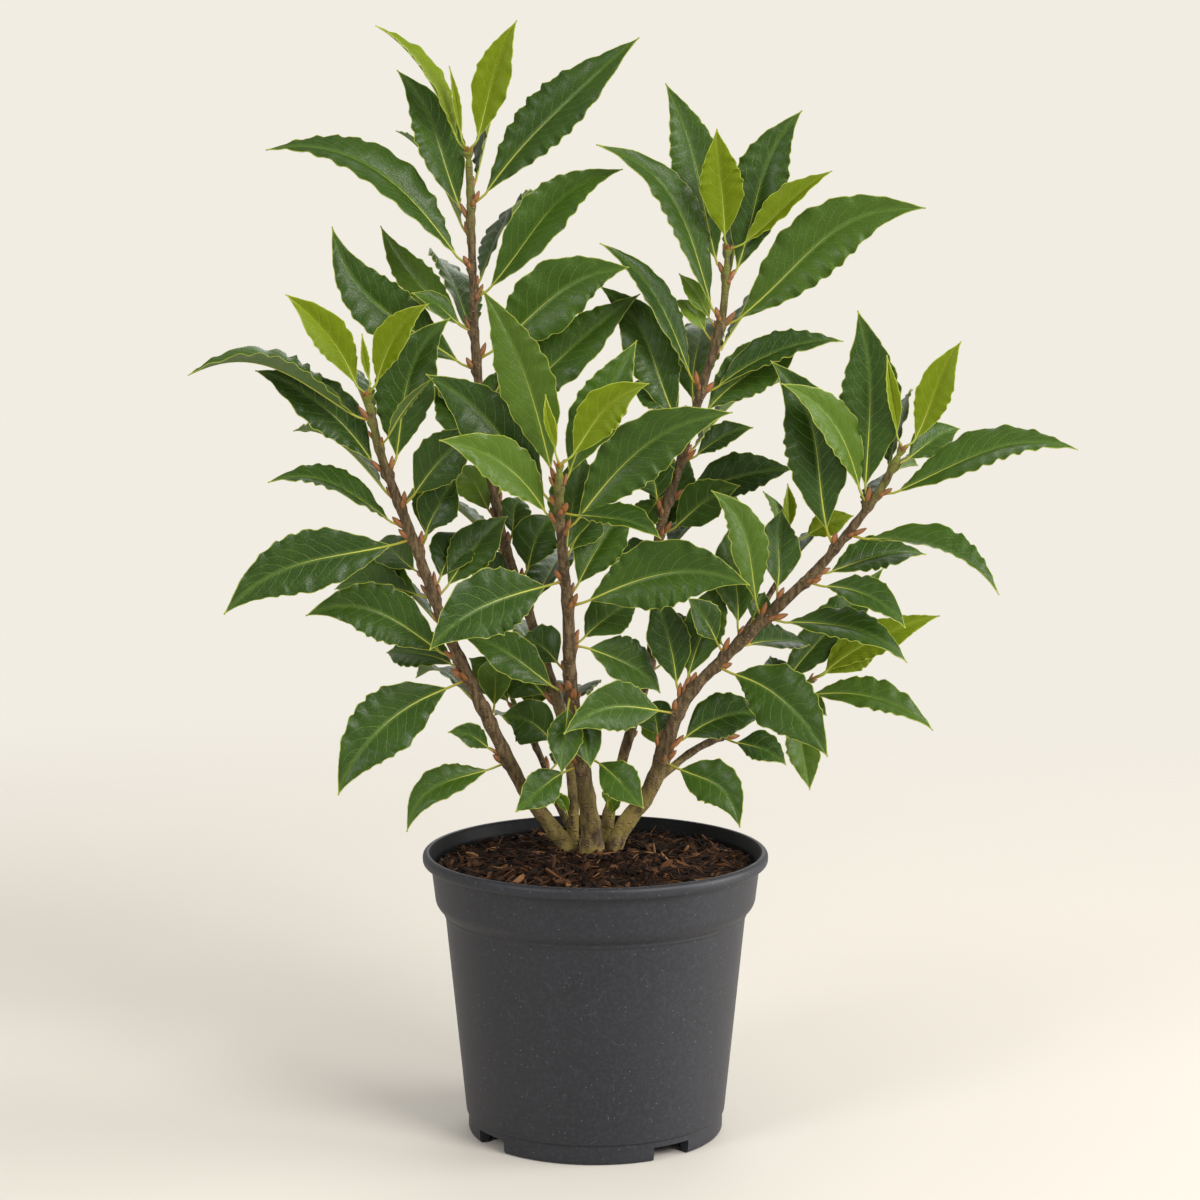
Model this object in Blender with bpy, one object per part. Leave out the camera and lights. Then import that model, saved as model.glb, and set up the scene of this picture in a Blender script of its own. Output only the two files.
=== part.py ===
"""A bay laurel in a plastic nursery pot, modelled as a closed solid for each piece.

Lengths in the tables are millimetres from the foot of the pot's axis: x to the right,
y to the back, z up. Each leafy stem is one solid, with its leaves, petioles and buds
fused into it, and the bright young growth at each tip is a solid of its own.
"""
import math
import random
from collections import namedtuple

import bmesh
import bpy
from mathutils import Vector, noise

MM = 0.001
GAP = 0.3

# The pot's axis, from the middle of the whole plant's footprint
POT_AXIS = (-22.0, -12.0)

# Pot: a round 3 litre nursery pot
POT_HEIGHT = 157.0
RIM_RADIUS = 95.0
LIP_HEIGHT = 6.5
LIP_WIDTH = 4.2
BAND_TOP_RADIUS = 90.3
BAND_LOW_RADIUS = 88.4
BAND_LOW_HEIGHT = 131.0
WALL_TOP_RADIUS = 83.0
WALL_TOP_HEIGHT = 124.5
WALL_LOW_RADIUS = 71.7
FOOT_RADIUS = 70.5
FOOT_HEIGHT = 11.3
FOOT_WIDTH = 5.5
WALL = 1.8
FLOOR_UNDERSIDE = 8.5
FLOOR_TOP = 11.5
POT_SEGMENTS = 44

# Four notches in the foot ring and a drain hole behind each
NOTCH_ANGLES = (-54.0, 36.0, 126.0, 216.0)
NOTCH_WIDTH_ANGLE = 19.0
NOTCH_HEIGHT = 7.6
NOTCH_INNER = 60.0
NOTCH_OUTER = 76.0
DRAIN_RADIUS = 4.5
DRAIN_PLACE = 55.0
DRAIN_SIDES = 8

# Soil: a low mound with its edge under the rim
SOIL_EDGE_HEIGHT = 147.5
SOIL_MOUND = 5.0
SOIL_RELIEF = 1.6
SOIL_SEGMENTS = 34
HOLE_TOP = 168.0
HOLE_GAP = 0.5

# Leaves
LARGE_STATIONS = (0.12, 0.28, 0.44, 0.60, 0.75, 0.88)
MIDDLE_STATIONS = (0.14, 0.34, 0.54, 0.72, 0.88)
SMALL_STATIONS = (0.2, 0.5, 0.8)
LARGE_LENGTH = 78.0
SMALL_LENGTH = 44.0
MIDRIB_THICKNESS = 1.3
PETIOLE = 6.0
PETIOLE_HALF = 0.9
STAND_OFF = 3.5
WAVE = 0.055
SERRATION = 0.06
FOLD = 14.0
BUD_LENGTH = 6.5
BUD_HALF = 1.5
BUD_SIDES = 3
BUDLESS_END = 12.0
BUDLESS_WIDTH = 17.0
TWIST = 14.0
BASE_BROADER = 0.25
BOW = 3.8

# Stems
STEM_SIDES = 8
ROUTE_STEPS = 2
TIP_TAPER = 0.45

Leaf = namedtuple("Leaf", "z right back up width face arch fold", defaults=(FOLD,))
"""z: height of the foot on its stem. right, back, up: from the foot to the tip.
width: across the blade. face: 0 looks up, 90 looks to the front, less than 0 looks
to the back. arch: how far the midrib bows up. fold: rise of each half in degrees."""

# Routes: x, y, z and radius, from the soil up
LEFT_ROUTE = [
    (-12, 8, 141, 4.8), (-14, 8, 153, 4.6), (-25, 9, 169, 4.4), (-41, 8, 192, 4.0),
    (-58, 5, 227, 3.5), (-71, 1, 256, 3.2), (-85, -4, 290, 3.0), (-98, -9, 329, 2.7),
    (-107, -12, 353, 2.5), (-115, -16, 377, 2.3), (-120, -19, 401, 2.0),
]
TALL_ROUTE = [
    (-13, 26, 141, 3.2), (-13, 26, 153, 3.1), (-13, 28, 188, 2.9), (-20, 30, 230, 2.8),
    (-34, 32, 274, 2.7), (-50, 33, 322, 2.6), (-58, 34, 361, 2.5), (-65, 35, 418, 2.4),
    (-67, 36, 459, 2.3), (-68, 37, 499, 2.1), (-69, 38, 529, 1.9),
]
CENTRE_ROUTE = [
    (-2, 0, 141, 6.6), (-2, 0, 153, 6.4), (-3, 0, 171, 5.4), (-7, -3, 205, 4.5),
    (-13, -8, 246, 3.6), (-15, -17, 295, 3.0), (-18, -27, 329, 2.6), (-19, -38, 357, 2.3),
    (-19, -43, 368, 2.1),
]
RIGHT_ROUTE = [
    (8, 7, 141, 5.0), (9, 6, 153, 4.9), (16, 6, 169, 4.7), (31, 5, 192, 4.3),
    (43, 4, 227, 3.9), (52, 3, 244, 3.5), (70, 2, 263, 3.1), (91, 0, 284, 2.9),
    (117, -2, 309, 2.7), (136, -5, 332, 2.5), (152, -8, 354, 2.2), (162, -10, 373, 2.0),
]
BACK_ROUTE = [
    (5, 24, 141, 3.2), (5, 24, 154, 3.1), (9, 27, 179, 3.0), (18, 30, 212, 2.9),
    (31, 34, 260, 2.8), (35, 37, 324, 2.6), (45, 38, 360, 2.5), (58, 38, 406, 2.3),
    (69, 38, 443, 2.1), (72, 38, 475, 1.9),
]
LOW_ROUTE = [
    (-11, 42, 141, 2.2), (-11, 42, 153, 2.1), (-22, 47, 174, 2.0), (-31, 50, 199, 1.8),
    (-43, 53, 223, 1.5), (-48, 54, 234, 1.2),
]
SIDE_ROUTE = [
    (30, 6, 190, 1.8), (42, 14, 200, 2.0), (55, 24, 208, 2.0), (70, 34, 214, 1.9),
    (98, 48, 228, 1.8), (118, 55, 240, 1.7),
]
REAR_ROUTE = [
    (56, 3, 248, 1.6), (72, 22, 262, 1.8), (92, 44, 284, 1.7), (106, 61, 304, 1.6),
    (110, 67, 315, 1.5),
]

# Leaves of each branch, from the top down; those that look to the back come last
LEFT_LEAVES = [
    Leaf(394, -95, -25, 26, 33, 25, 15),
    Leaf(366, -70, 0, 55, 30, 55, 8),
    Leaf(336, -74, -15, 26, 27, 25, 10),
    Leaf(330, -99, -30, -37, 34, 75, 10),
    Leaf(365, 34, 2, 84, 33, 85, 9),
    Leaf(380, 31, -34, 39, 12, 10, 3),
    Leaf(347, 44, -10, 43, 28, 80, 4),
    Leaf(324, 21, 8, 38, 24, 70, 2),
    Leaf(296, 39, 28, 43, 26, 75, 3),
    Leaf(310, -34, 50, 10, 22, 60, 3),
    Leaf(297, -58, 46, -1, 30, 50, 5),
    Leaf(263, -83, -8, 25, 32, 65, 13),
    Leaf(257, -46, 48, 2, 26, 50, 4),
    Leaf(252, -69, -35, -58, 36, 85, 13),
    Leaf(209, -31, -10, 14, 14, 60, 3),
    Leaf(205, -55, -22, -35, 20, 50, 11),
    Leaf(227, 5, 36, 34, 20, 60, 3),
    Leaf(385, -30, 62, 45, 30, -40, 8),
    Leaf(350, -62, 58, 34, 30, -35, 10),
    Leaf(280, -58, 58, 20, 30, -30, 12),
    Leaf(236, -40, 62, 6, 28, -30, 10),
]
TALL_LEAVES = [
    Leaf(500, -41, 16, 82, 28, 50, 4),
    Leaf(508, 92, -15, 90, 34, 60, 4),
    Leaf(474, -111, -12, 64, 32, 45, 21),
    Leaf(457, 82, 6, 71, 32, 50, 9),
    Leaf(424, 84, -10, 51, 38, 85, 8),
    Leaf(385, 86, 10, 75, 31, 70, 3),
    Leaf(439, -54, 38, 58, 22, 55, -6),
    Leaf(418, -79, 0, 79, 32, 65, -12),
    Leaf(439, -34, -10, 22, 14, 55, 2),
    Leaf(515, 20, 62, 62, 28, -40, 6),
    Leaf(490, -45, 60, 60, 30, -35, 8),
    Leaf(462, 35, 72, 52, 32, -35, 10),
    Leaf(430, -30, 78, 50, 32, -35, 10),
    Leaf(398, 50, 70, 40, 32, -35, 10),
    Leaf(370, -60, 66, 40, 32, -35, 10),
    Leaf(345, 10, 85, 35, 32, -35, 12),
    Leaf(315, -62, 66, 25, 32, -30, 12),
    Leaf(285, 30, 80, 20, 32, -30, 12),
    Leaf(255, -35, 75, 10, 30, -30, 12),
    Leaf(225, 15, 72, 0, 28, -30, 10),
]
CENTRE_LEAVES = [
    Leaf(361, -40, -2, 104, 30, 80, 5),
    Leaf(359, 41, 9, 79, 28, 75, 2),
    Leaf(349, -71, 6, 71, 34, 75, 6),
    Leaf(340, -63, -24, 47, 27, 60, 10),
    Leaf(335, 91, -4, 65, 34, 85, 13),
    Leaf(347, 53, -36, -10, 24, 30, 4),
    Leaf(294, 97, -25, 15, 38, 85, 12),
    Leaf(309, -71, -40, -32, 37, 85, 8),
    Leaf(244, -61, 4, 33, 24, 70, 4),
    Leaf(247, -5, -25, -41, 20, 80, 2),
    Leaf(242, 10, -20, -34, 19, 80, 2),
    Leaf(205, -36, -26, -21, 21, 75, 3),
    Leaf(211, 34, -26, -25, 22, 80, 3),
    Leaf(270, 38, 22, 24, 26, 60, 3),
    Leaf(298, 35, 28, 49, 28, 70, 3),
    Leaf(318, 17, 30, 25, 24, 70, 2),
    Leaf(273, 50, 26, -31, 30, 60, 5),
]
RIGHT_LEAVES = [
    Leaf(348, -8, -4, 105, 34, 88, 5),
    Leaf(370, 38, 22, 18, 20, 60, 2),
    Leaf(354, 106, -10, 25, 31, 40, 10),
    Leaf(347, -49, -22, 68, 24, 50, 12),
    Leaf(324, -36, -4, 102, 36, 85, 9),
    Leaf(332, 80, -22, -30, 28, 40, 12),
    Leaf(310, 64, 22, 8, 26, 40, 4),
    Leaf(306, 52, -26, -22, 24, 45, 8),
    Leaf(286, 75, -20, -22, 26, 35, 9),
    Leaf(232, -62, -46, -3, 28, 75, 10),
    Leaf(238, -16, 4, 62, 24, 75, 2),
    Leaf(242, 20, 14, 65, 24, 75, 2),
    Leaf(264, -21, -12, 34, 20, 50, 2),
    Leaf(213, 57, 2, 17, 28, 60, 8),
    Leaf(259, 58, -46, -42, 36, 88, 10),
    Leaf(270, 43, 42, -6, 26, 40, 3),
    Leaf(292, 3, 22, 51, 24, 80, 2),
    Leaf(284, -29, -16, 73, 24, 45, 9),
    Leaf(272, -4, 26, 62, 26, 70, 2),
    Leaf(278, 8, 14, 20, 14, 60, 1),
    Leaf(206, 42, -32, -31, 26, 85, 10),
    Leaf(362, 20, 58, 45, 28, -40, 6),
    Leaf(338, 40, 62, 26, 30, -35, 8),
]
BACK_LEAVES = [
    Leaf(470, -33, 18, 105, 30, 65, 3),
    Leaf(466, 42, 8, 94, 32, 70, 5),
    Leaf(442, 111, -10, 65, 37, 65, 13),
    Leaf(445, -69, -10, 96, 26, 35, 17),
    Leaf(407, -56, -8, 81, 21, 32, 9),
    Leaf(439, -22, 10, 32, 12, 40, 2),
    Leaf(405, 79, 2, 29, 24, 30, 8),
    Leaf(391, 64, 24, 45, 30, 70, 3),
    Leaf(346, 70, 6, 17, 28, 60, 4),
    Leaf(327, 44, -16, 29, 25, 75, 3),
    Leaf(367, 40, -6, 20, 18, 45, 3),
    Leaf(382, -49, 20, 82, 30, 75, 7),
    Leaf(350, -17, 6, -21, 18, 60, 2),
    Leaf(231, 11, -14, -19, 12, 75, 1),
    Leaf(462, 20, 60, 60, 28, -40, 6),
    Leaf(425, 55, 62, 50, 30, -35, 8),
    Leaf(395, 5, 78, 48, 32, -35, 10),
    Leaf(370, 62, 62, 38, 32, -35, 10),
    Leaf(340, -20, 80, 35, 32, -30, 12),
    Leaf(310, 50, 72, 28, 32, -30, 12),
    Leaf(280, 5, 85, 15, 32, -30, 12),
    Leaf(250, 45, 70, 5, 30, -30, 10),
    Leaf(215, 10, 68, -5, 28, -30, 10),
]
SIDE_LEAVES = [
    Leaf(236, 78, -12, -20, 24, 45, 10),
    Leaf(230, 64, 42, 72, 26, 70, 2),
    Leaf(233, -7, 24, 20, 16, 60, 1),
    Leaf(232, 24, -18, -6, 16, 60, 2),
    Leaf(234, 12, -16, -51, 20, 60, 2),
    Leaf(214, 36, -12, -14, 22, 50, 3),
    Leaf(224, 18, 54, 8, 22, -30, 6),
]
REAR_LEAVES = [
    Leaf(312, -15, -4, 37, 14, 20, 2),
    Leaf(302, 30, 48, 22, 22, -30, 5),
    Leaf(286, -25, 50, 22, 22, -30, 5),
]
LOW_LEAVES = [
    Leaf(218, 13, -4, 38, 22, 70, 2),
    Leaf(225, -28, 14, 28, 24, 60, 3),
    Leaf(205, -25, 45, 10, 22, -30, 6),
    Leaf(190, 20, 42, 5, 20, -30, 5),
]

# Young growth: how far each tip runs on from its stem, and its leaves
Tip = namedtuple("Tip", "name route length leaves")
TIPS = [
    Tip("tip_left", LEFT_ROUTE, 9, [
        Leaf(408, -42, -8, 54, 22, 60, 5, 24), Leaf(410, -2, -6, 33, 5, 60, 0, 30),
        Leaf(409, 34, -16, 49, 20, 75, 6, 24)]),
    Tip("tip_tall", TALL_ROUTE, 10, [
        Leaf(537, -50, -4, 68, 22, 20, 7, 24), Leaf(538, -10, -5, 46, 5, 60, 0, 30),
        Leaf(538, 27, -10, 70, 22, 85, 2, 24)]),
    Tip("tip_centre", CENTRE_ROUTE, 7, [
        Leaf(373, 47, -14, 44, 24, 85, 6, 20), Leaf(374, -7, -8, 38, 7, 70, 0, 30)]),
    Tip("tip_back", BACK_ROUTE, 11, [
        Leaf(485, -7, -18, 65, 25, 88, 0, 20), Leaf(484, 56, -12, 43, 20, 50, 0, 30)]),
    Tip("tip_right", RIGHT_ROUTE, 8, [
        Leaf(379, -10, -10, 51, 9, 60, 0, 35), Leaf(380, 30, -6, 58, 21, 80, 0, 24)]),
    Tip("tip_side", SIDE_ROUTE, 7, [
        Leaf(243, 43, 8, 22, 22, 80, 3, 20), Leaf(243, 71, -6, 37, 20, 50, 5, 24)]),
    Tip("tip_rear", REAR_ROUTE, 7, [
        Leaf(321, -3, -2, 33, 9, 70, 0, 30), Leaf(321, 35, 4, 14, 16, 60, 2, 24)]),
]

Branch = namedtuple("Branch", "route leaves")
STEMS = {
    "stem_left": [Branch(LEFT_ROUTE, LEFT_LEAVES)],
    "stem_tall": [Branch(TALL_ROUTE, TALL_LEAVES)],
    "stem_centre": [Branch(CENTRE_ROUTE, CENTRE_LEAVES)],
    "stem_right": [
        Branch(RIGHT_ROUTE, RIGHT_LEAVES),
        Branch(SIDE_ROUTE, SIDE_LEAVES),
        Branch(REAR_ROUTE, REAR_LEAVES),
    ],
    "stem_back": [Branch(BACK_ROUTE, BACK_LEAVES)],
    "shoot_low": [Branch(LOW_ROUTE, LOW_LEAVES)],
}

# Which random draw of its leaves' twists a node takes, where it isn't the first
TWIST_DRAW = {"stem_centre": "a", "stem_right": "b", "tip_rear": "a"}

BARK, LEAF = 0, 1
DEGENERATE = 2e-6


def material(name, color, roughness):
    """A plain Principled material."""
    made = bpy.data.materials.new(name)
    made.use_nodes = True
    shader = made.node_tree.nodes["Principled BSDF"]
    shader.inputs["Base Color"].default_value = (*color, 1)
    shader.inputs["Roughness"].default_value = roughness
    shader.inputs["Metallic"].default_value = 0
    return made


def solid(name, points, faces, materials, indices=None):
    """An object from points in millimetres round the pot's axis."""
    mesh = bpy.data.meshes.new(name)
    mesh.from_pydata([Vector(p) * MM for p in points], [], faces)
    for made in materials:
        mesh.materials.append(made)
    if indices:
        mesh.polygons.foreach_set("material_index", indices)
    obj = bpy.data.objects.new(name, mesh)
    bpy.context.scene.collection.objects.link(obj)
    return obj


def shade_smooth(obj, angle):
    obj.data.shade_smooth()
    obj.data.set_sharp_from_angle(angle=math.radians(angle))


def spline(route):
    """A Catmull-Rom curve through the route's points, with the radius as fourth value."""
    points = [Vector(p) for p in route]
    points = [points[0] * 2 - points[1]] + points + [points[-1] * 2 - points[-2]]
    curve = []
    for a, b, c, d in zip(points, points[1:], points[2:], points[3:]):
        for i in range(ROUTE_STEPS):
            t = i / ROUTE_STEPS
            curve.append(0.5 * (2 * b + (c - a) * t + (2 * a - 5 * b + 4 * c - d) * t ** 2
                                + (3 * b - a - 3 * c + d) * t ** 3))
    curve.append(points[-2])
    return curve


def tube(curve):
    """Points and faces of a closed round tube with flat ends along the curve."""
    points, faces = [], []
    sides = STEM_SIDES
    side = Vector((1, 0, 0))
    for i, here in enumerate(curve):
        ahead = curve[min(i + 1, len(curve) - 1)].to_3d()
        tangent = (ahead - curve[max(i - 1, 0)].to_3d()).normalized()
        side = (side - side.dot(tangent) * tangent).normalized()
        across = tangent.cross(side)
        for k in range(sides):
            turn = 2 * math.pi * k / sides
            offset = side * math.cos(turn) + across * math.sin(turn)
            points.append(here.to_3d() + offset * here[3])
    for i in range(len(curve) - 1):
        for k in range(sides):
            a, b = i * sides + k, i * sides + (k + 1) % sides
            faces.append((a, b, b + sides, a + sides))
    last = (len(curve) - 1) * sides
    faces.append(tuple(reversed(range(sides))))
    faces.append(tuple(range(last, last + sides)))
    return points, faces


def foot_on(curve, height):
    """The curve's point, tangent and radius at a height."""
    for a, b in zip(curve, curve[1:]):
        if b.z >= height or b is curve[-1]:
            t = min(1.0, max(0.0, (height - a.z) / (b.z - a.z)))
            here = a.lerp(b, t)
            return here.to_3d(), (b - a).to_3d().normalized(), here[3]


def leaf_frame(leaf):
    """Directions of a leaf: along, across, out of its upper face, and its arch."""
    along = Vector((leaf.right, leaf.back, leaf.up))
    length = along.length
    along.normalize()
    turn = math.radians(leaf.face)
    look = Vector((0, -math.sin(turn), math.cos(turn)))
    normal = (look - look.dot(along) * along).normalized()
    up = Vector((0, 0, 1))
    rise = (up - up.dot(along) * along).normalized()
    return along, along.cross(normal), normal, rise, length


def blade_half(u):
    """Half the width of a laurel leaf, as a share of its widest, from base to tip."""
    return math.sin(math.pi * u) ** 1.15 * (1 + BASE_BROADER * (0.5 - u))


def bow(t):
    """The midrib's rise over its chord, which peaks past the middle."""
    return BOW * t * (1 - t) * (0.5 + t)


def bow_slope(t):
    return BOW * (0.5 + t - 3 * t * t)


def leaf_solid(root, tangent, radius, leaf, rng):
    """Points and faces of one leaf: a ring of four points at each station, and a tip."""
    along, across, normal, rise, length = leaf_frame(leaf)
    away = (along - along.dot(tangent) * tangent).normalized()
    twist = math.radians(rng.uniform(-TWIST, TWIST))
    petiole_end = min(0.25, (radius + PETIOLE) / length)
    stations = SMALL_STATIONS if length < SMALL_LENGTH else MIDDLE_STATIONS
    if length > LARGE_LENGTH:
        stations = LARGE_STATIONS
    places = [0.0, petiole_end] + [petiole_end + (1 - petiole_end) * u for u in stations]
    fold = math.radians(leaf.fold)
    points, faces = [], []
    for i, t in enumerate(places):
        centre = root + along * length * t + rise * leaf.arch * bow(t)
        centre += away * STAND_OFF * min(1, t / petiole_end) * (1 - t) ** 2
        ahead = (along * length + rise * leaf.arch * bow_slope(t)).normalized()
        turned = normal * math.cos(twist * t) + across * math.sin(twist * t)
        out = (turned - turned.dot(ahead) * ahead).normalized()
        side = ahead.cross(out)
        if i < 2:
            half, wave, thick, rising = PETIOLE_HALF, 0.0, PETIOLE_HALF, 0.0
        else:
            half = leaf.width / 2 * blade_half(stations[i - 2])
            wave = (-1) ** i * WAVE * leaf.width
            thick, rising = MIDRIB_THICKNESS / 2, fold
        for sign in (1, -1):
            reach = half * (1 + sign * (-1) ** i * (SERRATION if i > 1 else 0))
            edge = side * sign * reach * math.cos(rising)
            lift = out * (reach * math.sin(rising) + sign * wave)
            points.append(centre + edge + lift)
            points.append(centre + out * sign * thick)
    tip = root + along * length
    points.append(tip)
    # Ring order: one edge, upper midrib, other edge, lower midrib
    for i in range(len(places) - 1):
        for k in range(4):
            a, b = 4 * i + k, 4 * i + (k + 1) % 4
            # The diagonals above and below match, so that the two sheets never cross
            if k in (0, 2):
                faces += [(a, b, b + 4), (a, b + 4, a + 4)]
            else:
                faces += [(a, b, a + 4), (b, b + 4, a + 4)]
    end = 4 * (len(places) - 1)
    faces += [(end + k, end + (k + 1) % 4, len(points) - 1) for k in range(4)]
    faces += [(0, 3, 2), (0, 2, 1)]
    return points, faces


def bud_solid(root, tangent, radius, leaf):
    """A pointed bud in the leaf's axil, leaning along the stem."""
    along = leaf_frame(leaf)[0]
    out = (along - along.dot(tangent) * tangent).normalized()
    across = tangent.cross(out)
    base = root + tangent * 1.7 + out * radius * 0.3
    axis = (tangent * 0.85 + out * 0.5).normalized()
    out = (out - out.dot(axis) * axis).normalized()
    middle = base + axis * BUD_LENGTH * 0.5
    points = [base]
    for k in range(BUD_SIDES):
        turn = 2 * math.pi * (k + 0.3) / BUD_SIDES
        points.append(middle + (out * math.cos(turn) + across * math.sin(turn)) * BUD_HALF)
    points.append(base + axis * (BUD_LENGTH + radius))
    faces = []
    for k in range(BUD_SIDES):
        a, b = 1 + k, 1 + (k + 1) % BUD_SIDES
        faces += [(0, b, a), (BUD_SIDES + 1, a, b)]
    return points, faces


def facing_out(obj):
    """Turn the faces outwards."""
    shape = bmesh.new()
    shape.from_mesh(obj.data)
    if shape.calc_volume(signed=True) < 0:
        bmesh.ops.reverse_faces(shape, faces=shape.faces)
    shape.to_mesh(obj.data)
    shape.free()


def bake(obj):
    """Replace the mesh by what its modifiers make of it."""
    graph = bpy.context.evaluated_depsgraph_get()
    made = bpy.data.meshes.new_from_object(obj.evaluated_get(graph))
    obj.modifiers.clear()
    obj.data = made


def fuse(obj, repeats):
    """One Boolean union of the object with all its repeats."""
    group = bpy.data.collections.new(obj.name + "_repeats")
    bpy.context.scene.collection.children.link(group)
    for repeat in repeats:
        group.objects.link(repeat)
        bpy.context.scene.collection.objects.unlink(repeat)
    union = obj.modifiers.new("union", "BOOLEAN")
    union.operation = "UNION"
    union.operand_type = "COLLECTION"
    union.collection = group
    union.solver = "MANIFOLD"
    bake(obj)
    for repeat in repeats:
        bpy.data.objects.remove(repeat)
    bpy.data.collections.remove(group)


def cut(obj, cutters):
    """Take each cutter out of the object."""
    for cutter in cutters:
        cutter.hide_render = True
        cutter.display_type = "WIRE"
        facing_out(cutter)
        modifier = obj.modifiers.new("cut", "BOOLEAN")
        modifier.operation = "DIFFERENCE"
        modifier.object = cutter
    bake(obj)
    for cutter in cutters:
        bpy.data.objects.remove(cutter)


def keep_largest(obj):
    """Drop the scraps and sealed hollows that a union leaves, and hair-thin faces."""
    shape = bmesh.new()
    shape.from_mesh(obj.data)
    ways = {"quad_method": "FIXED", "ngon_method": "EAR_CLIP"}
    bmesh.ops.triangulate(shape, faces=shape.faces, **ways)
    bmesh.ops.dissolve_degenerate(shape, dist=DEGENERATE, edges=shape.edges)
    bmesh.ops.triangulate(shape, faces=shape.faces, **ways)
    left, groups = set(shape.verts), []
    while left:
        stack, group = [left.pop()], []
        while stack:
            vert = stack.pop()
            group.append(vert)
            for edge in vert.link_edges:
                other = edge.other_vert(vert)
                if other in left:
                    left.discard(other)
                    stack.append(other)
        groups.append(group)
    groups.sort(key=len)
    for group in groups[:-1]:
        bmesh.ops.delete(shape, geom=group, context="VERTS")
    shape.to_mesh(obj.data)
    shape.free()


def leafy(name, branches, materials, buds):
    """One solid: tubes for the branches, with their leaves and buds fused on."""
    stem, repeats = None, []
    for number, branch in enumerate(branches):
        curve = spline(branch.route)
        points, faces = tube(curve)
        part = solid(f"{name}_{number}", points, faces, materials, [BARK] * len(faces))
        facing_out(part)
        if stem is None:
            stem = part
            stem.name = name
        else:
            repeats.append(part)
        for i, leaf in enumerate(branch.leaves):
            rng = random.Random(f"{name} {number} {i}{TWIST_DRAW.get(name, '')}")
            root, tangent, radius = foot_on(curve, leaf.z)
            points, faces = leaf_solid(root, tangent, radius, leaf, rng)
            repeats.append(solid(f"{name}_leaf", points, faces, materials, [LEAF] * len(faces)))
            if buds and leaf.width > BUDLESS_WIDTH and leaf.z < curve[-1].z - BUDLESS_END:
                points, faces = bud_solid(root, tangent, radius, leaf)
                repeats.append(solid(f"{name}_bud", points, faces, materials, [BARK] * len(faces)))
    for repeat in repeats:
        facing_out(repeat)
    fuse(stem, repeats)
    keep_largest(stem)
    shade_smooth(stem, 50)
    return stem


def tip_route(tip):
    """The short green end that runs on from its stem, a gap above the stem's end."""
    curve = spline(tip.route)
    end, before = curve[-1].to_3d(), curve[-2].to_3d()
    direction = (end - before).normalized()
    start = end + direction * GAP
    radius = curve[-1][3]
    return [(*(start + direction * tip.length * t), radius * (1 - TIP_TAPER * t))
            for t in (0, 0.5, 1)]


def turned(profile, segments):
    """Points and faces of a profile turned round z; a point on the axis is a pole."""
    points, rings, faces = [], [], []
    for radius, height in profile:
        if radius == 0:
            rings.append([len(points)])
            points.append((0, 0, height))
            continue
        rings.append(range(len(points), len(points) + segments))
        for k in range(segments):
            turn = 2 * math.pi * k / segments
            points.append((radius * math.cos(turn), radius * math.sin(turn), height))
    for low, high in zip(rings, rings[1:]):
        for k in range(segments):
            n = (k + 1) % segments
            if len(low) == 1:
                faces.append((low[0], high[n], high[k]))
            elif len(high) == 1:
                faces.append((low[k], low[n], high[0]))
            else:
                faces.append((low[k], low[n], high[n], high[k]))
    return points, faces


def inner_wall():
    """The inside of the pot's wall, from the floor up to the rim."""
    return [
        (WALL_LOW_RADIUS - WALL, FLOOR_TOP),
        (WALL_TOP_RADIUS - WALL, WALL_TOP_HEIGHT - 1),
        (BAND_LOW_RADIUS - WALL, BAND_LOW_HEIGHT + 1),
        (BAND_TOP_RADIUS - WALL, POT_HEIGHT - LIP_HEIGHT),
    ]


def build_pot(plastic):
    """A turned shell with a stepped foot, cut by four notches and four drain holes."""
    outside = [
        (0, FLOOR_UNDERSIDE), (FOOT_RADIUS - FOOT_WIDTH - 1, FLOOR_UNDERSIDE),
        (FOOT_RADIUS - FOOT_WIDTH, 0), (FOOT_RADIUS - 1.6, 0), (FOOT_RADIUS - 0.6, 0.9),
        (FOOT_RADIUS, FOOT_HEIGHT - 1),
        (WALL_LOW_RADIUS, FOOT_HEIGHT), (WALL_TOP_RADIUS, WALL_TOP_HEIGHT),
        (WALL_TOP_RADIUS + 2.6, WALL_TOP_HEIGHT + 2.6),
        (BAND_LOW_RADIUS - 0.6, BAND_LOW_HEIGHT - 1.6),
        (BAND_LOW_RADIUS, BAND_LOW_HEIGHT + 1), (BAND_TOP_RADIUS, POT_HEIGHT - LIP_HEIGHT - 1),
        (RIM_RADIUS - 0.7, POT_HEIGHT - LIP_HEIGHT), (RIM_RADIUS, POT_HEIGHT - LIP_HEIGHT + 0.8),
        (RIM_RADIUS, POT_HEIGHT - 1.4), (RIM_RADIUS - 1.2, POT_HEIGHT - 0.2),
        (RIM_RADIUS - LIP_WIDTH + 1, POT_HEIGHT), (RIM_RADIUS - LIP_WIDTH, POT_HEIGHT - 1.2),
    ]
    profile = outside + inner_wall()[::-1] + [(0, FLOOR_TOP)]
    points, faces = turned(profile, POT_SEGMENTS)
    pot = solid("pot", points, faces, [plastic])
    facing_out(pot)
    cut(pot, [notch_cutter(angle, plastic) for angle in NOTCH_ANGLES]
        + [drain_cutter(angle, plastic) for angle in NOTCH_ANGLES])
    shade_smooth(pot, 35)
    return pot


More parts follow.
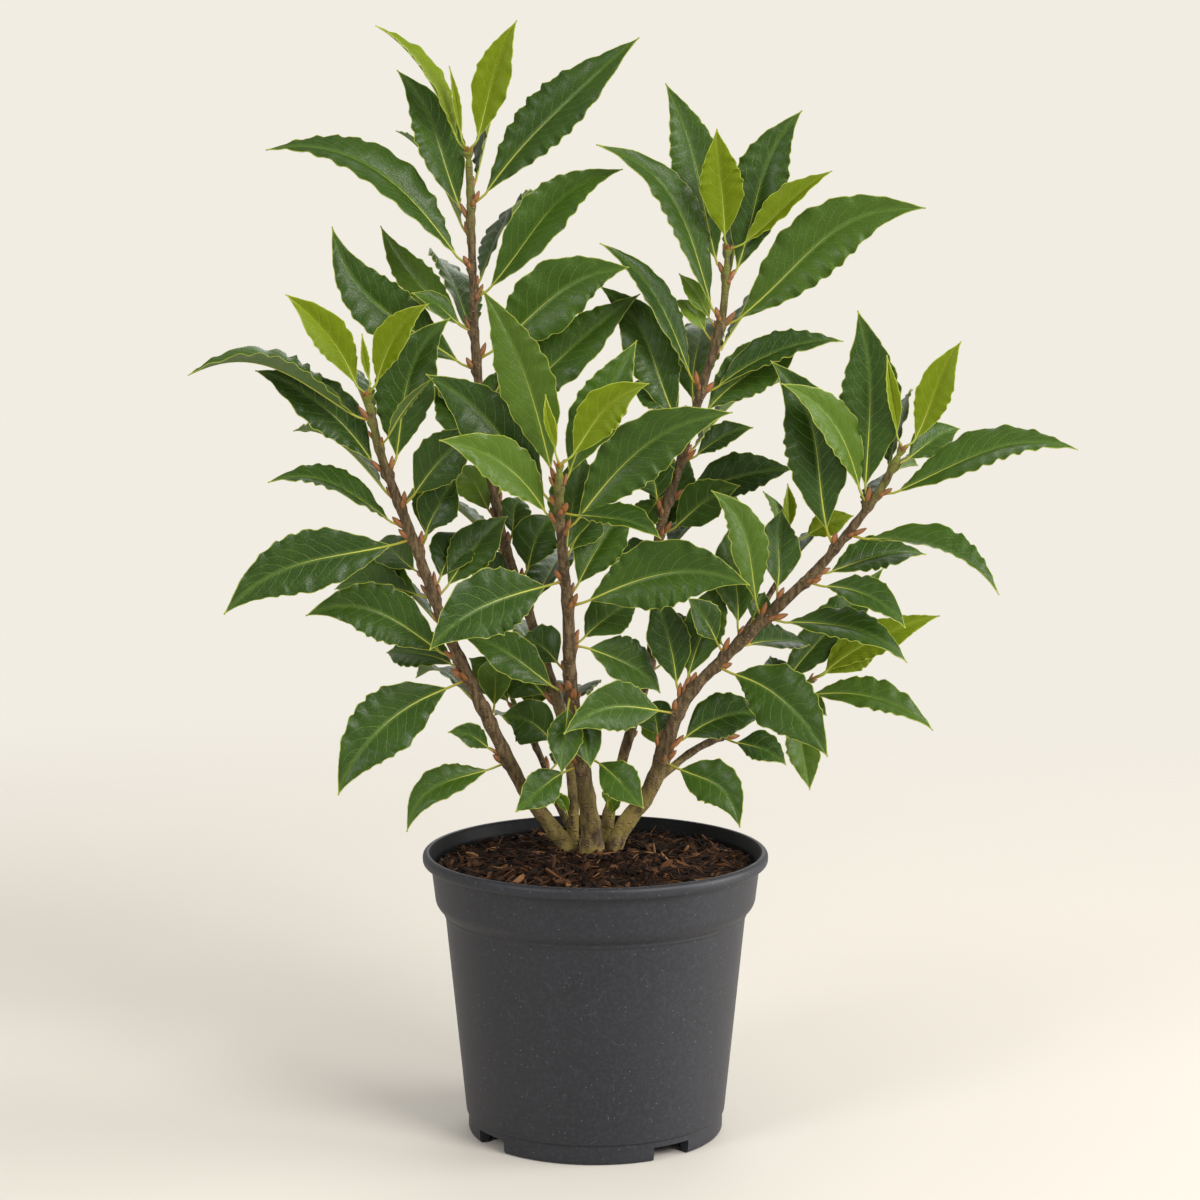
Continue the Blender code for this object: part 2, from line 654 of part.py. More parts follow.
def notch_cutter(angle, plastic):
    """A wedge through the foot ring, open below."""
    half = math.radians(NOTCH_WIDTH_ANGLE / 2)
    middle = math.radians(angle - 90)
    corners = ((NOTCH_INNER, -1), (NOTCH_INNER, 1), (NOTCH_OUTER, 1), (NOTCH_OUTER, -1))
    points = []
    for height in (-5, NOTCH_HEIGHT):
        for radius, sign in corners:
            turn = middle + sign * half
            points.append((radius * math.cos(turn), radius * math.sin(turn), height))
    faces = [(3, 2, 1, 0), (4, 5, 6, 7)]
    faces += [(i, (i + 1) % 4, (i + 1) % 4 + 4, i + 4) for i in range(4)]
    return solid("notch_cutter", points, faces, [plastic])


def drain_cutter(angle, plastic):
    """An eight-sided drain hole through the floor."""
    turn = math.radians(angle - 90)
    x, y = DRAIN_PLACE * math.cos(turn), DRAIN_PLACE * math.sin(turn)
    profile = [(0, 2), (DRAIN_RADIUS, 2), (DRAIN_RADIUS, 20), (0, 20)]
    points, faces = turned(profile, DRAIN_SIDES)
    points = [(px + x, py + y, pz) for px, py, pz in points]
    return solid("drain_cutter", points, faces, [plastic])


def soil_height(x, y):
    """The mound's surface, with lumps."""
    share = math.hypot(x, y) / (BAND_TOP_RADIUS - WALL)
    lumps = noise.noise((x / 9, y / 9, 3.7)) + 0.6 * noise.noise((x / 4, y / 4, 8.1))
    return SOIL_EDGE_HEIGHT + SOIL_MOUND * (1 - share ** 2) + SOIL_RELIEF * lumps


def build_soil(earth, routes):
    """The soil fills the pot up to its mound, with a plain hole for each stem."""
    wall = [(radius - GAP, height) for radius, height in inner_wall()]
    edge = wall[-1][0] - 0.4
    shares = (1.0, 0.92, 0.8, 0.66, 0.5, 0.3)
    profile = [(0, FLOOR_TOP + GAP), (wall[0][0], FLOOR_TOP + GAP)] + wall[1:3]
    profile += [(edge * share, SOIL_EDGE_HEIGHT) for share in shares] + [(0, SOIL_EDGE_HEIGHT)]
    points, faces = turned(profile, SOIL_SEGMENTS)
    lifted = []
    for x, y, z in points:
        on_top = z == SOIL_EDGE_HEIGHT
        lifted.append((x, y, soil_height(x, y) if on_top else z))
    soil = solid("soil", lifted, faces, [earth])
    facing_out(soil)
    holes = []
    for route in routes:
        curve = [p for p in spline(route) if p.z < HOLE_TOP]
        wider = [p + Vector((0, 0, 0, HOLE_GAP)) for p in curve]
        wider.insert(0, wider[0] * 2 - wider[1])
        points, faces = tube(wider)
        holes.append(solid("hole_cutter", points, faces, [earth]))
    cut(soil, holes)
    keep_largest(soil)
    shade_smooth(soil, 35)
    return soil


def main():
    for obj in list(bpy.data.objects):
        bpy.data.objects.remove(obj)
    plastic = material("pot_plastic", (0.045, 0.046, 0.052), 0.45)
    earth = material("potting_soil", (0.05, 0.028, 0.016), 0.95)
    bark = material("bark", (0.16, 0.10, 0.06), 0.75)
    mature = material("mature_leaf", (0.035, 0.11, 0.03), 0.32)
    young = material("young_leaf", (0.22, 0.34, 0.02), 0.4)
    routes = [branches[0].route for branches in STEMS.values()]
    pieces = [build_pot(plastic), build_soil(earth, routes)]
    for name, branches in STEMS.items():
        pieces.append(leafy(name, branches, [bark, mature], True))
    for tip in TIPS:
        branches = [Branch(tip_route(tip), tip.leaves)]
        pieces.append(leafy(tip.name, branches, [young, young], False))
    plant = bpy.data.objects.new("plant", None)
    plant.location = (POT_AXIS[0] * MM, POT_AXIS[1] * MM, 0)
    bpy.context.scene.collection.objects.link(plant)
    for piece in pieces:
        piece.parent = plant


if __name__ == "__main__":
    main()
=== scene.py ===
"""The looks of a bay laurel in a nursery pot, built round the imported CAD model.

Lengths in the tables are millimetres from the foot of the pot's axis, as in the part's
own source: x to the right, y to the back, z up.
"""
import math
import random
from collections import namedtuple

import bmesh
import bpy
import numpy as np
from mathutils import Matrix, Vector, noise


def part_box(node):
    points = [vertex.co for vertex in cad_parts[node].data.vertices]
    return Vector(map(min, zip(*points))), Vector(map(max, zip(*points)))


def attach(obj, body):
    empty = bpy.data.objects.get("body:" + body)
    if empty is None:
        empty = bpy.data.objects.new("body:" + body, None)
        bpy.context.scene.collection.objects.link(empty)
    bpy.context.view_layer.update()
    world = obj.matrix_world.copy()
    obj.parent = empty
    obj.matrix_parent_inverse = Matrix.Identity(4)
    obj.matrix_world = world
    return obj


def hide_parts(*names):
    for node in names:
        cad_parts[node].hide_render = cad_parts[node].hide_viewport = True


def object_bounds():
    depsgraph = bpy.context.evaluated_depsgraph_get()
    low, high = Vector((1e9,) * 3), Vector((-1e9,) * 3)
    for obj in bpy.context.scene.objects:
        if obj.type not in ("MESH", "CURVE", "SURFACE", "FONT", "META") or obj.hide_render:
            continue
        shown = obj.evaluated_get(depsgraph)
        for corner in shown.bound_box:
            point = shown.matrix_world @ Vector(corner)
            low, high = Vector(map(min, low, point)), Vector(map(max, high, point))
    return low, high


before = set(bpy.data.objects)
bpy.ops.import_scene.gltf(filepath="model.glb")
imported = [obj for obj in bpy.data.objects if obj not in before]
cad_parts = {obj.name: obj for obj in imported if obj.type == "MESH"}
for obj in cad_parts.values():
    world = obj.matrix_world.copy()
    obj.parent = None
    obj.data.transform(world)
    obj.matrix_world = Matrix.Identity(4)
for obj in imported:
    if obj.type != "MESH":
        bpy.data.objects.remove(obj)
cad_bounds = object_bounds()

MM = 0.001
pot_low, pot_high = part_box("pot")
AXIS = np.array([(pot_low.x + pot_high.x) / 2, (pot_low.y + pot_high.y) / 2, 0]) / MM

# Pot, as in the part
POT_HEIGHT = 157.0
RIM_RADIUS = 95.0
LIP_HEIGHT = 6.5
LIP_WIDTH = 4.2
BAND_TOP_RADIUS = 90.3
BAND_LOW_RADIUS = 88.4
BAND_LOW_HEIGHT = 131.0
WALL_TOP_RADIUS = 83.0
WALL_TOP_HEIGHT = 124.5
WALL_LOW_RADIUS = 71.7
FOOT_RADIUS = 70.5
FOOT_HEIGHT = 11.3
FOOT_WIDTH = 5.5
WALL = 1.8
FLOOR_UNDERSIDE = 8.5
FLOOR_TOP = 11.5
NOTCH_ANGLES = (-54.0, 36.0, 126.0, 216.0)
NOTCH_WIDTH_ANGLE = 19.0
NOTCH_HEIGHT = 7.6
NOTCH_INNER = 60.0
NOTCH_OUTER = 76.0
DRAIN_RADIUS = 4.5
DRAIN_PLACE = 55.0
POT_SEGMENTS = 176

# Soil. Each lump: height, breadth, and which slice of the noise it takes
SOIL_GAP = 0.3
SOIL_EDGE_HEIGHT = 147.5
SOIL_MOUND = 5.0
SOIL_SEGMENTS = 150
SOIL_RINGS = 46
SOIL_LUMPS = ((2.0, 16, 3.7), (2.6, 7, 8.1), (1.4, 3.2, 1.3), (0.5, 1.5, 5.9))
SOIL_COLLAR = 3.0
COLLAR_RADIUS = 26
SOIL_BITS = 1700

# Potting mix: lengths and widths of strands and of chips, and how flat they are
STRAND = ((8, 20), (0.35, 0.8))
CHIP = ((4.0, 13.0), (1.0, 3.2))
STRAND_FLATNESS = 0.9
CHIP_FLATNESS = (0.4, 0.75)
STRAND_SHARE = 0.5
BIT_RINGS = 4
BIT_PITCH = 0.34
BIT_BEND = 0.34
SHORTEST_BIT = 2.0

# Leaves, as in the part
FOLD = 14.0
TWIST = 14.0
PETIOLE = 6.0
LONGEST_PETIOLE = 0.25
STAND_OFF = 3.5
BASE_BROADER = 0.25
POINTEDNESS = 1.15
BOW = 3.8
TIP_TAPER = 0.45

# Leaves, finer than the part
ROW_STEP = 1.4
ROW_RANGE = (24, 76)
ENDS_FINER = 0.25
COLUMNS = (0.12, 0.25, 0.4, 0.55, 0.7, 0.83, 0.92, 0.97, 1.0)
BLADE_THICKNESS = 0.45
EDGE_THINNER = 0.45
BLADE_BULGE = 0.13
LEAST_HALF_WIDTH = 0.32
CURL = (-0.06, 0.08)
SWAY = 0.018
QUILT = 0.3
VEIN_SPACING = 7.6
FEWEST_VEINS = 4.0
VEIN_SWEEP = 0.22
VEIN_SLANT = 0.6
VEIN_BEND = 0.5

# The waves of a leaf's edge
WAVE = 0.034
WAVE_LENGTH = 5.0
WAVE_GROWTH = 0.065
WAVE_DRIFT = 0.5
WAVE_SIZES = (0.65, 1.15)
WAVE_SWELL = 0.35
WAVED_PART = (0.02, 0.97)
RIPPLE = 0.4
RIPPLE_RATE = 1.83
SCALLOP = 0.044
CRINKLE = 0.2

# Widths and counts are divided by this to be kept in a colour
COLOR_SCALE = 20

# Petioles and midribs
RIB_SIDES = 8
RIB_STATIONS = 26
RIB_END = 0.985
RIB_BUNCHING = 1.15
RIB_SIZE = 0.62
RIB_GROWTH = 0.22
RIB_THINNEST = 0.17
RIB_TAPER = 0.63
PETIOLE_SWELLING = 0.5

# Buds: their rings' places and widths, then the sizes they are drawn from
BUD_SIDES = 8
BUD_PLACES = (0, 0.14, 0.32, 0.52, 0.72, 0.86, 0.95, 1.0)
BUD_WIDTHS = (0.6, 0.88, 1.0, 0.97, 0.78, 0.52, 0.27, 0.05)
BUD_LENGTHS = (6.0, 9.5)
BUD_HALVES = (1.4, 1.85)
SMALL_BUD = 0.7
SIDE_BUD_CHANCE = 0.4
SIDE_BUD_TURN = 1.1
SIDE_BUD_LENGTHS = (0.4, 0.8)
SIDE_BUD_HALVES = (1.0, 1.4)
BUDLESS_TOP = 4
BUDLESS_WIDTH = 10
SMALL_BUD_WIDTH = 16
END_BUD_TURNS = (0.6, 2.9, 4.7)
END_BUD_LENGTH = 4.6
END_BUD_HALF = 0.8

# Stems. Each lump: size, how many times round, and how fast it turns along the stem
STEM_SIDES = 18
STEM_STEPS = 14
STEM_LUMPS = ((0.05, 2, 0.05), (0.035, 3, -0.11), (0.03, 5, 0.37), (0.035, 0, 0.45),
              (0.02, 7, 0.9))
STEM_DRAWS = 6
FOOT_REACH = 12
FOOT_SWELLING = (0.25, 0.95)
SCAR_DEPTH = 0.16
LENGTH_SCALE = 400
RADIUS_SCALE = 8

# Stubs of shed leaves and twigs, on each main stem
STUBS = 3
STUB_HEIGHTS = (163, 235)
STUB_LENGTHS = (0.8, 2.4)
STUB_HALF = 1.15

# Camera, measured from the photograph against the pot's ellipses
CAMERA_PLACE = (2.51, -1600.0, 511.05)
CAMERA_TILT = 82.33
CAMERA_LENS = 88.98

Leaf = namedtuple("Leaf", "z right back up width face arch fold", defaults=(FOLD,))
"""z: height of the foot on its stem. right, back, up: from the foot to the tip.
width: across the blade. face: 0 looks up, 90 looks to the front, less than 0 looks
to the back. arch: how far the midrib bows up. fold: rise of each half in degrees."""

# Routes: x, y, z and radius, from the soil up
LEFT_ROUTE = [
    (-12, 8, 141, 4.8), (-14, 8, 153, 4.6), (-25, 9, 169, 4.4), (-41, 8, 192, 4.0),
    (-58, 5, 227, 3.5), (-71, 1, 256, 3.2), (-85, -4, 290, 3.0), (-98, -9, 329, 2.7),
    (-107, -12, 353, 2.5), (-115, -16, 377, 2.3), (-120, -19, 401, 2.0),
]
TALL_ROUTE = [
    (-13, 26, 141, 3.2), (-13, 26, 153, 3.1), (-13, 28, 188, 2.9), (-20, 30, 230, 2.8),
    (-34, 32, 274, 2.7), (-50, 33, 322, 2.6), (-58, 34, 361, 2.5), (-65, 35, 418, 2.4),
    (-67, 36, 459, 2.3), (-68, 37, 499, 2.1), (-69, 38, 529, 1.9),
]
CENTRE_ROUTE = [
    (-2, 0, 141, 6.6), (-2, 0, 153, 6.4), (-3, 0, 171, 5.4), (-7, -3, 205, 4.5),
    (-13, -8, 246, 3.6), (-15, -17, 295, 3.0), (-18, -27, 329, 2.6), (-19, -38, 357, 2.3),
    (-19, -43, 368, 2.1),
]
RIGHT_ROUTE = [
    (8, 7, 141, 5.0), (9, 6, 153, 4.9), (16, 6, 169, 4.7), (31, 5, 192, 4.3),
    (43, 4, 227, 3.9), (52, 3, 244, 3.5), (70, 2, 263, 3.1), (91, 0, 284, 2.9),
    (117, -2, 309, 2.7), (136, -5, 332, 2.5), (152, -8, 354, 2.2), (162, -10, 373, 2.0),
]
BACK_ROUTE = [
    (5, 24, 141, 3.2), (5, 24, 154, 3.1), (9, 27, 179, 3.0), (18, 30, 212, 2.9),
    (31, 34, 260, 2.8), (35, 37, 324, 2.6), (45, 38, 360, 2.5), (58, 38, 406, 2.3),
    (69, 38, 443, 2.1), (72, 38, 475, 1.9),
]
LOW_ROUTE = [
    (-11, 42, 141, 2.2), (-11, 42, 153, 2.1), (-22, 47, 174, 2.0), (-31, 50, 199, 1.8),
    (-43, 53, 223, 1.5), (-48, 54, 234, 1.2),
]
SIDE_ROUTE = [
    (30, 6, 190, 1.8), (42, 14, 200, 2.0), (55, 24, 208, 2.0), (70, 34, 214, 1.9),
    (98, 48, 228, 1.8), (118, 55, 240, 1.7),
]
REAR_ROUTE = [
    (56, 3, 248, 1.6), (72, 22, 262, 1.8), (92, 44, 284, 1.7), (106, 61, 304, 1.6),
    (110, 67, 315, 1.5),
]

# Leaves of each branch, from the top down. Those that look to the back come last: the
# photograph doesn't show them, and they are made up to fill the rear
LEFT_LEAVES = [
    (394, -95, -25, 26, 33, 25, 15), (366, -70, 0, 55, 30, 55, 8), (336, -74, -15, 26, 27, 25, 10),
    (330, -99, -30, -37, 34, 75, 10), (365, 34, 2, 84, 33, 85, 9), (380, 31, -34, 39, 12, 10, 3),
    (347, 44, -10, 43, 28, 80, 4), (324, 21, 8, 38, 24, 70, 2), (296, 39, 28, 43, 26, 75, 3),
    (310, -34, 50, 10, 22, 60, 3), (297, -58, 46, -1, 30, 50, 5), (263, -83, -8, 25, 32, 65, 13),
    (257, -46, 48, 2, 26, 50, 4), (252, -69, -35, -58, 36, 85, 13), (209, -31, -10, 14, 14, 60, 3),
    (205, -55, -22, -35, 20, 50, 11), (227, 5, 36, 34, 20, 60, 3), (385, -30, 62, 45, 30, -40, 8),
    (350, -62, 58, 34, 30, -35, 10), (280, -58, 58, 20, 30, -30, 12), (236, -40, 62, 6, 28, -30, 10),
]
TALL_LEAVES = [
    (500, -41, 16, 82, 28, 50, 4), (508, 92, -15, 90, 34, 60, 4), (474, -111, -12, 64, 32, 45, 21),
    (457, 82, 6, 71, 32, 50, 9), (424, 84, -10, 51, 38, 85, 8), (385, 86, 10, 75, 31, 70, 3),
    (439, -54, 38, 58, 22, 55, -6), (418, -79, 0, 79, 32, 65, -12), (439, -34, -10, 22, 14, 55, 2),
    (515, 20, 62, 62, 28, -40, 6), (490, -45, 60, 60, 30, -35, 8), (462, 35, 72, 52, 32, -35, 10),
    (430, -30, 78, 50, 32, -35, 10), (398, 50, 70, 40, 32, -35, 10), (370, -60, 66, 40, 32, -35, 10),
    (345, 10, 85, 35, 32, -35, 12), (315, -62, 66, 25, 32, -30, 12), (285, 30, 80, 20, 32, -30, 12),
    (255, -35, 75, 10, 30, -30, 12), (225, 15, 72, 0, 28, -30, 10),
]
CENTRE_LEAVES = [
    (361, -40, -2, 104, 30, 80, 5), (359, 41, 9, 79, 28, 75, 2), (349, -71, 6, 71, 34, 75, 6),
    (340, -63, -24, 47, 27, 60, 10), (335, 91, -4, 65, 34, 85, 13), (347, 53, -36, -10, 24, 30, 4),
    (294, 97, -25, 15, 38, 85, 12), (309, -71, -40, -32, 37, 85, 8), (244, -61, 4, 33, 24, 70, 4),
    (247, -5, -25, -41, 20, 80, 2), (242, 10, -20, -34, 19, 80, 2), (205, -36, -26, -21, 21, 75, 3),
    (211, 34, -26, -25, 22, 80, 3), (270, 38, 22, 24, 26, 60, 3), (298, 35, 28, 49, 28, 70, 3),
    (318, 17, 30, 25, 24, 70, 2), (273, 50, 26, -31, 30, 60, 5),
]
RIGHT_LEAVES = [
    (348, -8, -4, 105, 34, 88, 5), (370, 38, 22, 18, 20, 60, 2), (354, 106, -10, 25, 31, 40, 10),
    (347, -49, -22, 68, 24, 50, 12), (324, -36, -4, 102, 36, 85, 9), (332, 80, -22, -30, 28, 40, 12),
    (310, 64, 22, 8, 26, 40, 4), (306, 52, -26, -22, 24, 45, 8), (286, 75, -20, -22, 26, 35, 9),
    (232, -62, -46, -3, 28, 75, 10), (238, -16, 4, 62, 24, 75, 2), (242, 20, 14, 65, 24, 75, 2),
    (264, -21, -12, 34, 20, 50, 2), (213, 57, 2, 17, 28, 60, 8), (259, 58, -46, -42, 36, 88, 10),
    (270, 43, 42, -6, 26, 40, 3), (292, 3, 22, 51, 24, 80, 2), (284, -29, -16, 73, 24, 45, 9),
    (272, -4, 26, 62, 26, 70, 2), (278, 8, 14, 20, 14, 60, 1), (206, 42, -32, -31, 26, 85, 10),
    (362, 20, 58, 45, 28, -40, 6), (338, 40, 62, 26, 30, -35, 8),
]
BACK_LEAVES = [
    (470, -33, 18, 105, 30, 65, 3), (466, 42, 8, 94, 32, 70, 5), (442, 111, -10, 65, 37, 65, 13),
    (445, -69, -10, 96, 26, 35, 17), (407, -56, -8, 81, 21, 32, 9), (439, -22, 10, 32, 12, 40, 2),
    (405, 79, 2, 29, 24, 30, 8), (391, 64, 24, 45, 30, 70, 3), (346, 70, 6, 17, 28, 60, 4),
    (327, 44, -16, 29, 25, 75, 3), (367, 40, -6, 20, 18, 45, 3), (382, -49, 20, 82, 30, 75, 7),
    (350, -17, 6, -21, 18, 60, 2), (231, 11, -14, -19, 12, 75, 1), (462, 20, 60, 60, 28, -40, 6),
    (425, 55, 62, 50, 30, -35, 8), (395, 5, 78, 48, 32, -35, 10), (370, 62, 62, 38, 32, -35, 10),
    (340, -20, 80, 35, 32, -30, 12), (310, 50, 72, 28, 32, -30, 12), (280, 5, 85, 15, 32, -30, 12),
    (250, 45, 70, 5, 30, -30, 10), (215, 10, 68, -5, 28, -30, 10),
]
SIDE_LEAVES = [
    (236, 78, -12, -20, 24, 45, 10), (230, 64, 42, 72, 26, 70, 2), (233, -7, 24, 20, 16, 60, 1),
    (232, 24, -18, -6, 16, 60, 2), (234, 12, -16, -51, 20, 60, 2), (214, 36, -12, -14, 22, 50, 3),
    (224, 18, 54, 8, 22, -30, 6),
]
REAR_LEAVES = [
    (312, -15, -4, 37, 14, 20, 2), (302, 30, 48, 22, 22, -30, 5), (286, -25, 50, 22, 22, -30, 5),
]
LOW_LEAVES = [
    (218, 13, -4, 38, 22, 70, 2), (225, -28, 14, 28, 24, 60, 3), (205, -25, 45, 10, 22, -30, 6),
    (190, 20, 42, 5, 20, -30, 5),
]

# Younger, lighter leaves among the mature ones: node, branch and place in its table,
# which runs on into the one of INNER
AGE = {
    ("stem_centre", 0, 0): 0.35, ("stem_centre", 0, 3): 0.4, ("stem_right", 0, 3): 0.45,
    ("stem_back", 0, 13): 0.6, ("stem_right", 0, 17): 0.25, ("stem_back", 0, 2): 0.1,
    ("stem_right", 1, 4): 0.3, ("stem_right", 1, 0): 0.15, ("stem_tall", 0, 6): 0.3,
    ("stem_left", 0, 16): 0.35, ("shoot_low", 0, 0): 0.35, ("shoot_low", 0, 1): 0.3,
    ("stem_right", 2, 0): 0.5, ("stem_back", 0, 5): 0.7, ("stem_tall", 0, 20): 0.7,
    ("stem_tall", 0, 21): 0.8, ("stem_tall", 0, 28): 0.7, ("stem_back", 0, 26): 0.6,
    ("stem_back", 0, 27): 0.7, ("stem_back", 0, 28): 0.9,
}

# Leaves that fold unlike the part's: the rise of each half in degrees
FOLDED = {
    ("stem_tall", 0, 3): (45.0, FOLD), ("stem_left", 0, 0): (45.0, FOLD),
    ("stem_back", 0, 6): (42.0, FOLD), ("stem_right", 0, 5): (FOLD, 40.0),
    ("tip_side", 0, 0): (8.0, 8.0), ("tip_side", 0, 1): (4.0, 4.0),
    ("tip_rear", 0, 1): (8.0, 8.0),
}

# Leaves that only the looks have: guesses that fill the shaded middle of the plant
INNER = {
    "stem_left": [
        (300, 19, 30, 28, 26, 70, 5), (322, 17, 30, 44, 24, 70, 5),
    ],
    "stem_tall": [
        (335, -27, 28, 26, 24, 60, 5), (340, -6, 34, 19, 15, 60, 3), (300, 22, 14, 36, 27, 78, 5),
        (320, 9, 24, 25, 20, 72, 5), (373, 16, 30, 48, 26, 75, 5), (367, -34, 30, 38, 27, 65, 5),
        (232, -34, 14, 18, 30, 75, 5), (207, -37, 8, 18, 28, 78, 5), (166, -12, -6, 19, 7, 60, 3),
        (288, -32, 34, 21, 26, 70, 5),
    ],
    "stem_centre": [
        (316, 11, 34, 58, 28, 75, 5), (255, -28, 26, 16, 26, 70, 5),
    ],
    "stem_back": [
        (338, -18, -4, 35, 25, 65, 5), (388, -34, 14, 21, 24, 60, 5), (225, -21, -4, -4, 16, 70, 3),
        (172, -1, -8, 17, 8, 60, 3), (166, 10, -6, 18, 7, 60, 3), (432, -23, 14, 24, 12, 60, 4),
        (300, -24, 24, 10, 28, 70, 5), (318, 18, 30, 51, 26, 72, 5),
    ],
    "stem_right": [
        (212, -11, 20, 20, 22, 72, 5), (246, -13, 34, 39, 24, 70, 5),
    ],
}

# Young growth: how far each tip runs on from its stem, and its leaves
Tip = namedtuple("Tip", "name route length leaves")
TIPS = [
    Tip("tip_left", LEFT_ROUTE, 9, [
        (408, -42, -8, 54, 22, 60, 5, 24), (410, -2, -6, 33, 5, 60, 0, 30),
        (409, 34, -16, 49, 20, 75, 6, 24)]),
    Tip("tip_tall", TALL_ROUTE, 10, [
        (537, -50, -4, 68, 22, 20, 7, 24), (538, -10, -5, 46, 5, 60, 0, 30),
        (538, 27, -10, 70, 22, 85, 2, 24)]),
    Tip("tip_centre", CENTRE_ROUTE, 7, [
        (373, 47, -14, 44, 24, 85, 6, 20), (374, -7, -8, 38, 7, 70, 0, 30)]),
    Tip("tip_back", BACK_ROUTE, 11, [
        (485, -7, -18, 65, 25, 88, 0, 20), (484, 56, -12, 43, 20, 50, 0, 30)]),
    Tip("tip_right", RIGHT_ROUTE, 8, [
        (379, -10, -10, 51, 9, 60, 0, 35), (380, 30, -6, 58, 21, 80, 0, 24)]),
    Tip("tip_side", SIDE_ROUTE, 7, [
        (243, 43, 8, 22, 22, 80, 3, 20), (243, 71, -6, 37, 20, 50, 5, 24)]),
    Tip("tip_rear", REAR_ROUTE, 7, [
        (321, -3, -2, 33, 9, 70, 0, 30), (321, 35, 4, 14, 16, 60, 2, 24)]),
]

Branch = namedtuple("Branch", "route leaves")
STEMS = {
    "stem_left": [Branch(LEFT_ROUTE, LEFT_LEAVES)],
    "stem_tall": [Branch(TALL_ROUTE, TALL_LEAVES)],
    "stem_centre": [Branch(CENTRE_ROUTE, CENTRE_LEAVES)],
    "stem_right": [
        Branch(RIGHT_ROUTE, RIGHT_LEAVES),
        Branch(SIDE_ROUTE, SIDE_LEAVES),
        Branch(REAR_ROUTE, REAR_LEAVES),
    ],
    "stem_back": [Branch(BACK_ROUTE, BACK_LEAVES)],
    "shoot_low": [Branch(LOW_ROUTE, LOW_LEAVES)],
}

# Which random draw of its leaves' twists a node takes, where it isn't the first
TWIST_DRAW = {"stem_centre": "a", "stem_right": "b", "tip_rear": "a"}


def new_mesh(name, points, faces, materials):
    mesh = bpy.data.meshes.new(name)
    mesh.from_pydata(points, [], faces)
    for made in materials:
        mesh.materials.append(made)
    return mesh


def new_object(name, data):
    """An object for this mesh, light or camera, in the scene."""
    obj = bpy.data.objects.new(name, data)
    bpy.context.scene.collection.objects.link(obj)
    return obj


def channels(grid, *values):
    """Four values for each point of a grid, one row a point."""
    return np.stack([np.broadcast_to(value, grid) for value in values], -1).reshape(-1, 4)


class Shape:
    """Points and faces gathered for one piece, with two colour values a point."""

    def __init__(self):
        self.points, self.faces, self.slots = [], [], []
        self.where, self.kind = [], []
        self.count = 0

    def add(self, points, faces, slot, where, kind):
        """where: place on the leaf or stem. kind: what sets this leaf or bit apart."""
        points = np.asarray(points, float)
        self.points.append(points)
        self.faces += (np.asarray(faces) + self.count).tolist()
        self.slots += [slot] * len(faces)
        self.where.append(np.broadcast_to(where, (len(points), 4)))
        self.kind.append(np.broadcast_to(kind, (len(points), 4)))
        self.count += len(points)

    def make(self, name, materials, cad_node, slot, sharp=60):
        """The object, kept inside the part's box, on the body, in place of its CAD node."""
        points = (np.concatenate(self.points) + AXIS) * MM
        low, high = (np.array(corner) for corner in cad_bounds)
        points = np.clip(points, low, high)
        mesh = new_mesh(name, points.tolist(), self.faces, materials)
        mesh.polygons.foreach_set("material_index", self.slots)
        for label, values in (("where", self.where), ("kind", self.kind)):
            layer = mesh.attributes.new(label, "FLOAT_COLOR", "POINT")
            layer.data.foreach_set("color", np.concatenate(values).astype(np.float32).ravel())
        mesh.shade_smooth()
        mesh.set_sharp_from_angle(angle=math.radians(sharp))
        obj = new_object(name, mesh)
        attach(obj, "root")
        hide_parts(cad_node)


def unit(v):
    return v / np.linalg.norm(v, axis=-1, keepdims=True)


def smooth(low, high, x):
    t = np.clip((np.asarray(x, float) - low) / (high - low), 0, 1)
    return t * t * (3 - 2 * t)


def spline(route, steps):
    """A Catmull-Rom curve through the route's points, with the radius as fourth value."""
    points = [np.array(p, float) for p in route]
    points = [points[0] * 2 - points[1]] + points + [points[-1] * 2 - points[-2]]
    curve = []
    for a, b, c, d in zip(points, points[1:], points[2:], points[3:]):
        for i in range(steps):
            t = i / steps
            curve.append(0.5 * (2 * b + (c - a) * t + (2 * a - 5 * b + 4 * c - d) * t ** 2
                                + (3 * b - a - 3 * c + d) * t ** 3))
    curve.append(points[-2])
    return np.array(curve)


def foot_on(curve, height):
    """The curve's point, tangent and radius at a height."""
    i = int(np.clip(np.searchsorted(curve[:, 2], height), 1, len(curve) - 1))
    a, b = curve[i - 1], curve[i]
    t = float(np.clip((height - a[2]) / (b[2] - a[2]), 0, 1))
    here = a + (b - a) * t
    return here[:3], unit(b[:3] - a[:3]), here[3]


def blade_half(u):
    """Half the width of a laurel leaf, as a share of its widest, from base to tip."""
    return np.sin(math.pi * u) ** POINTEDNESS * (1 + BASE_BROADER * (0.5 - u))


def leaf_frame(leaf):
    """Directions of a leaf: along, across, out of its upper face, and its arch."""
    along = np.array([leaf.right, leaf.back, leaf.up], float)
    length = float(np.linalg.norm(along))
    along = along / length
    turn = math.radians(leaf.face)
    look = np.array([0, -math.sin(turn), math.cos(turn)])
    normal = unit(look - look.dot(along) * along)
    up = np.array([0, 0, 1.0])
    rise = unit(up - up.dot(along) * along)
    return along, np.cross(along, normal), normal, rise, length


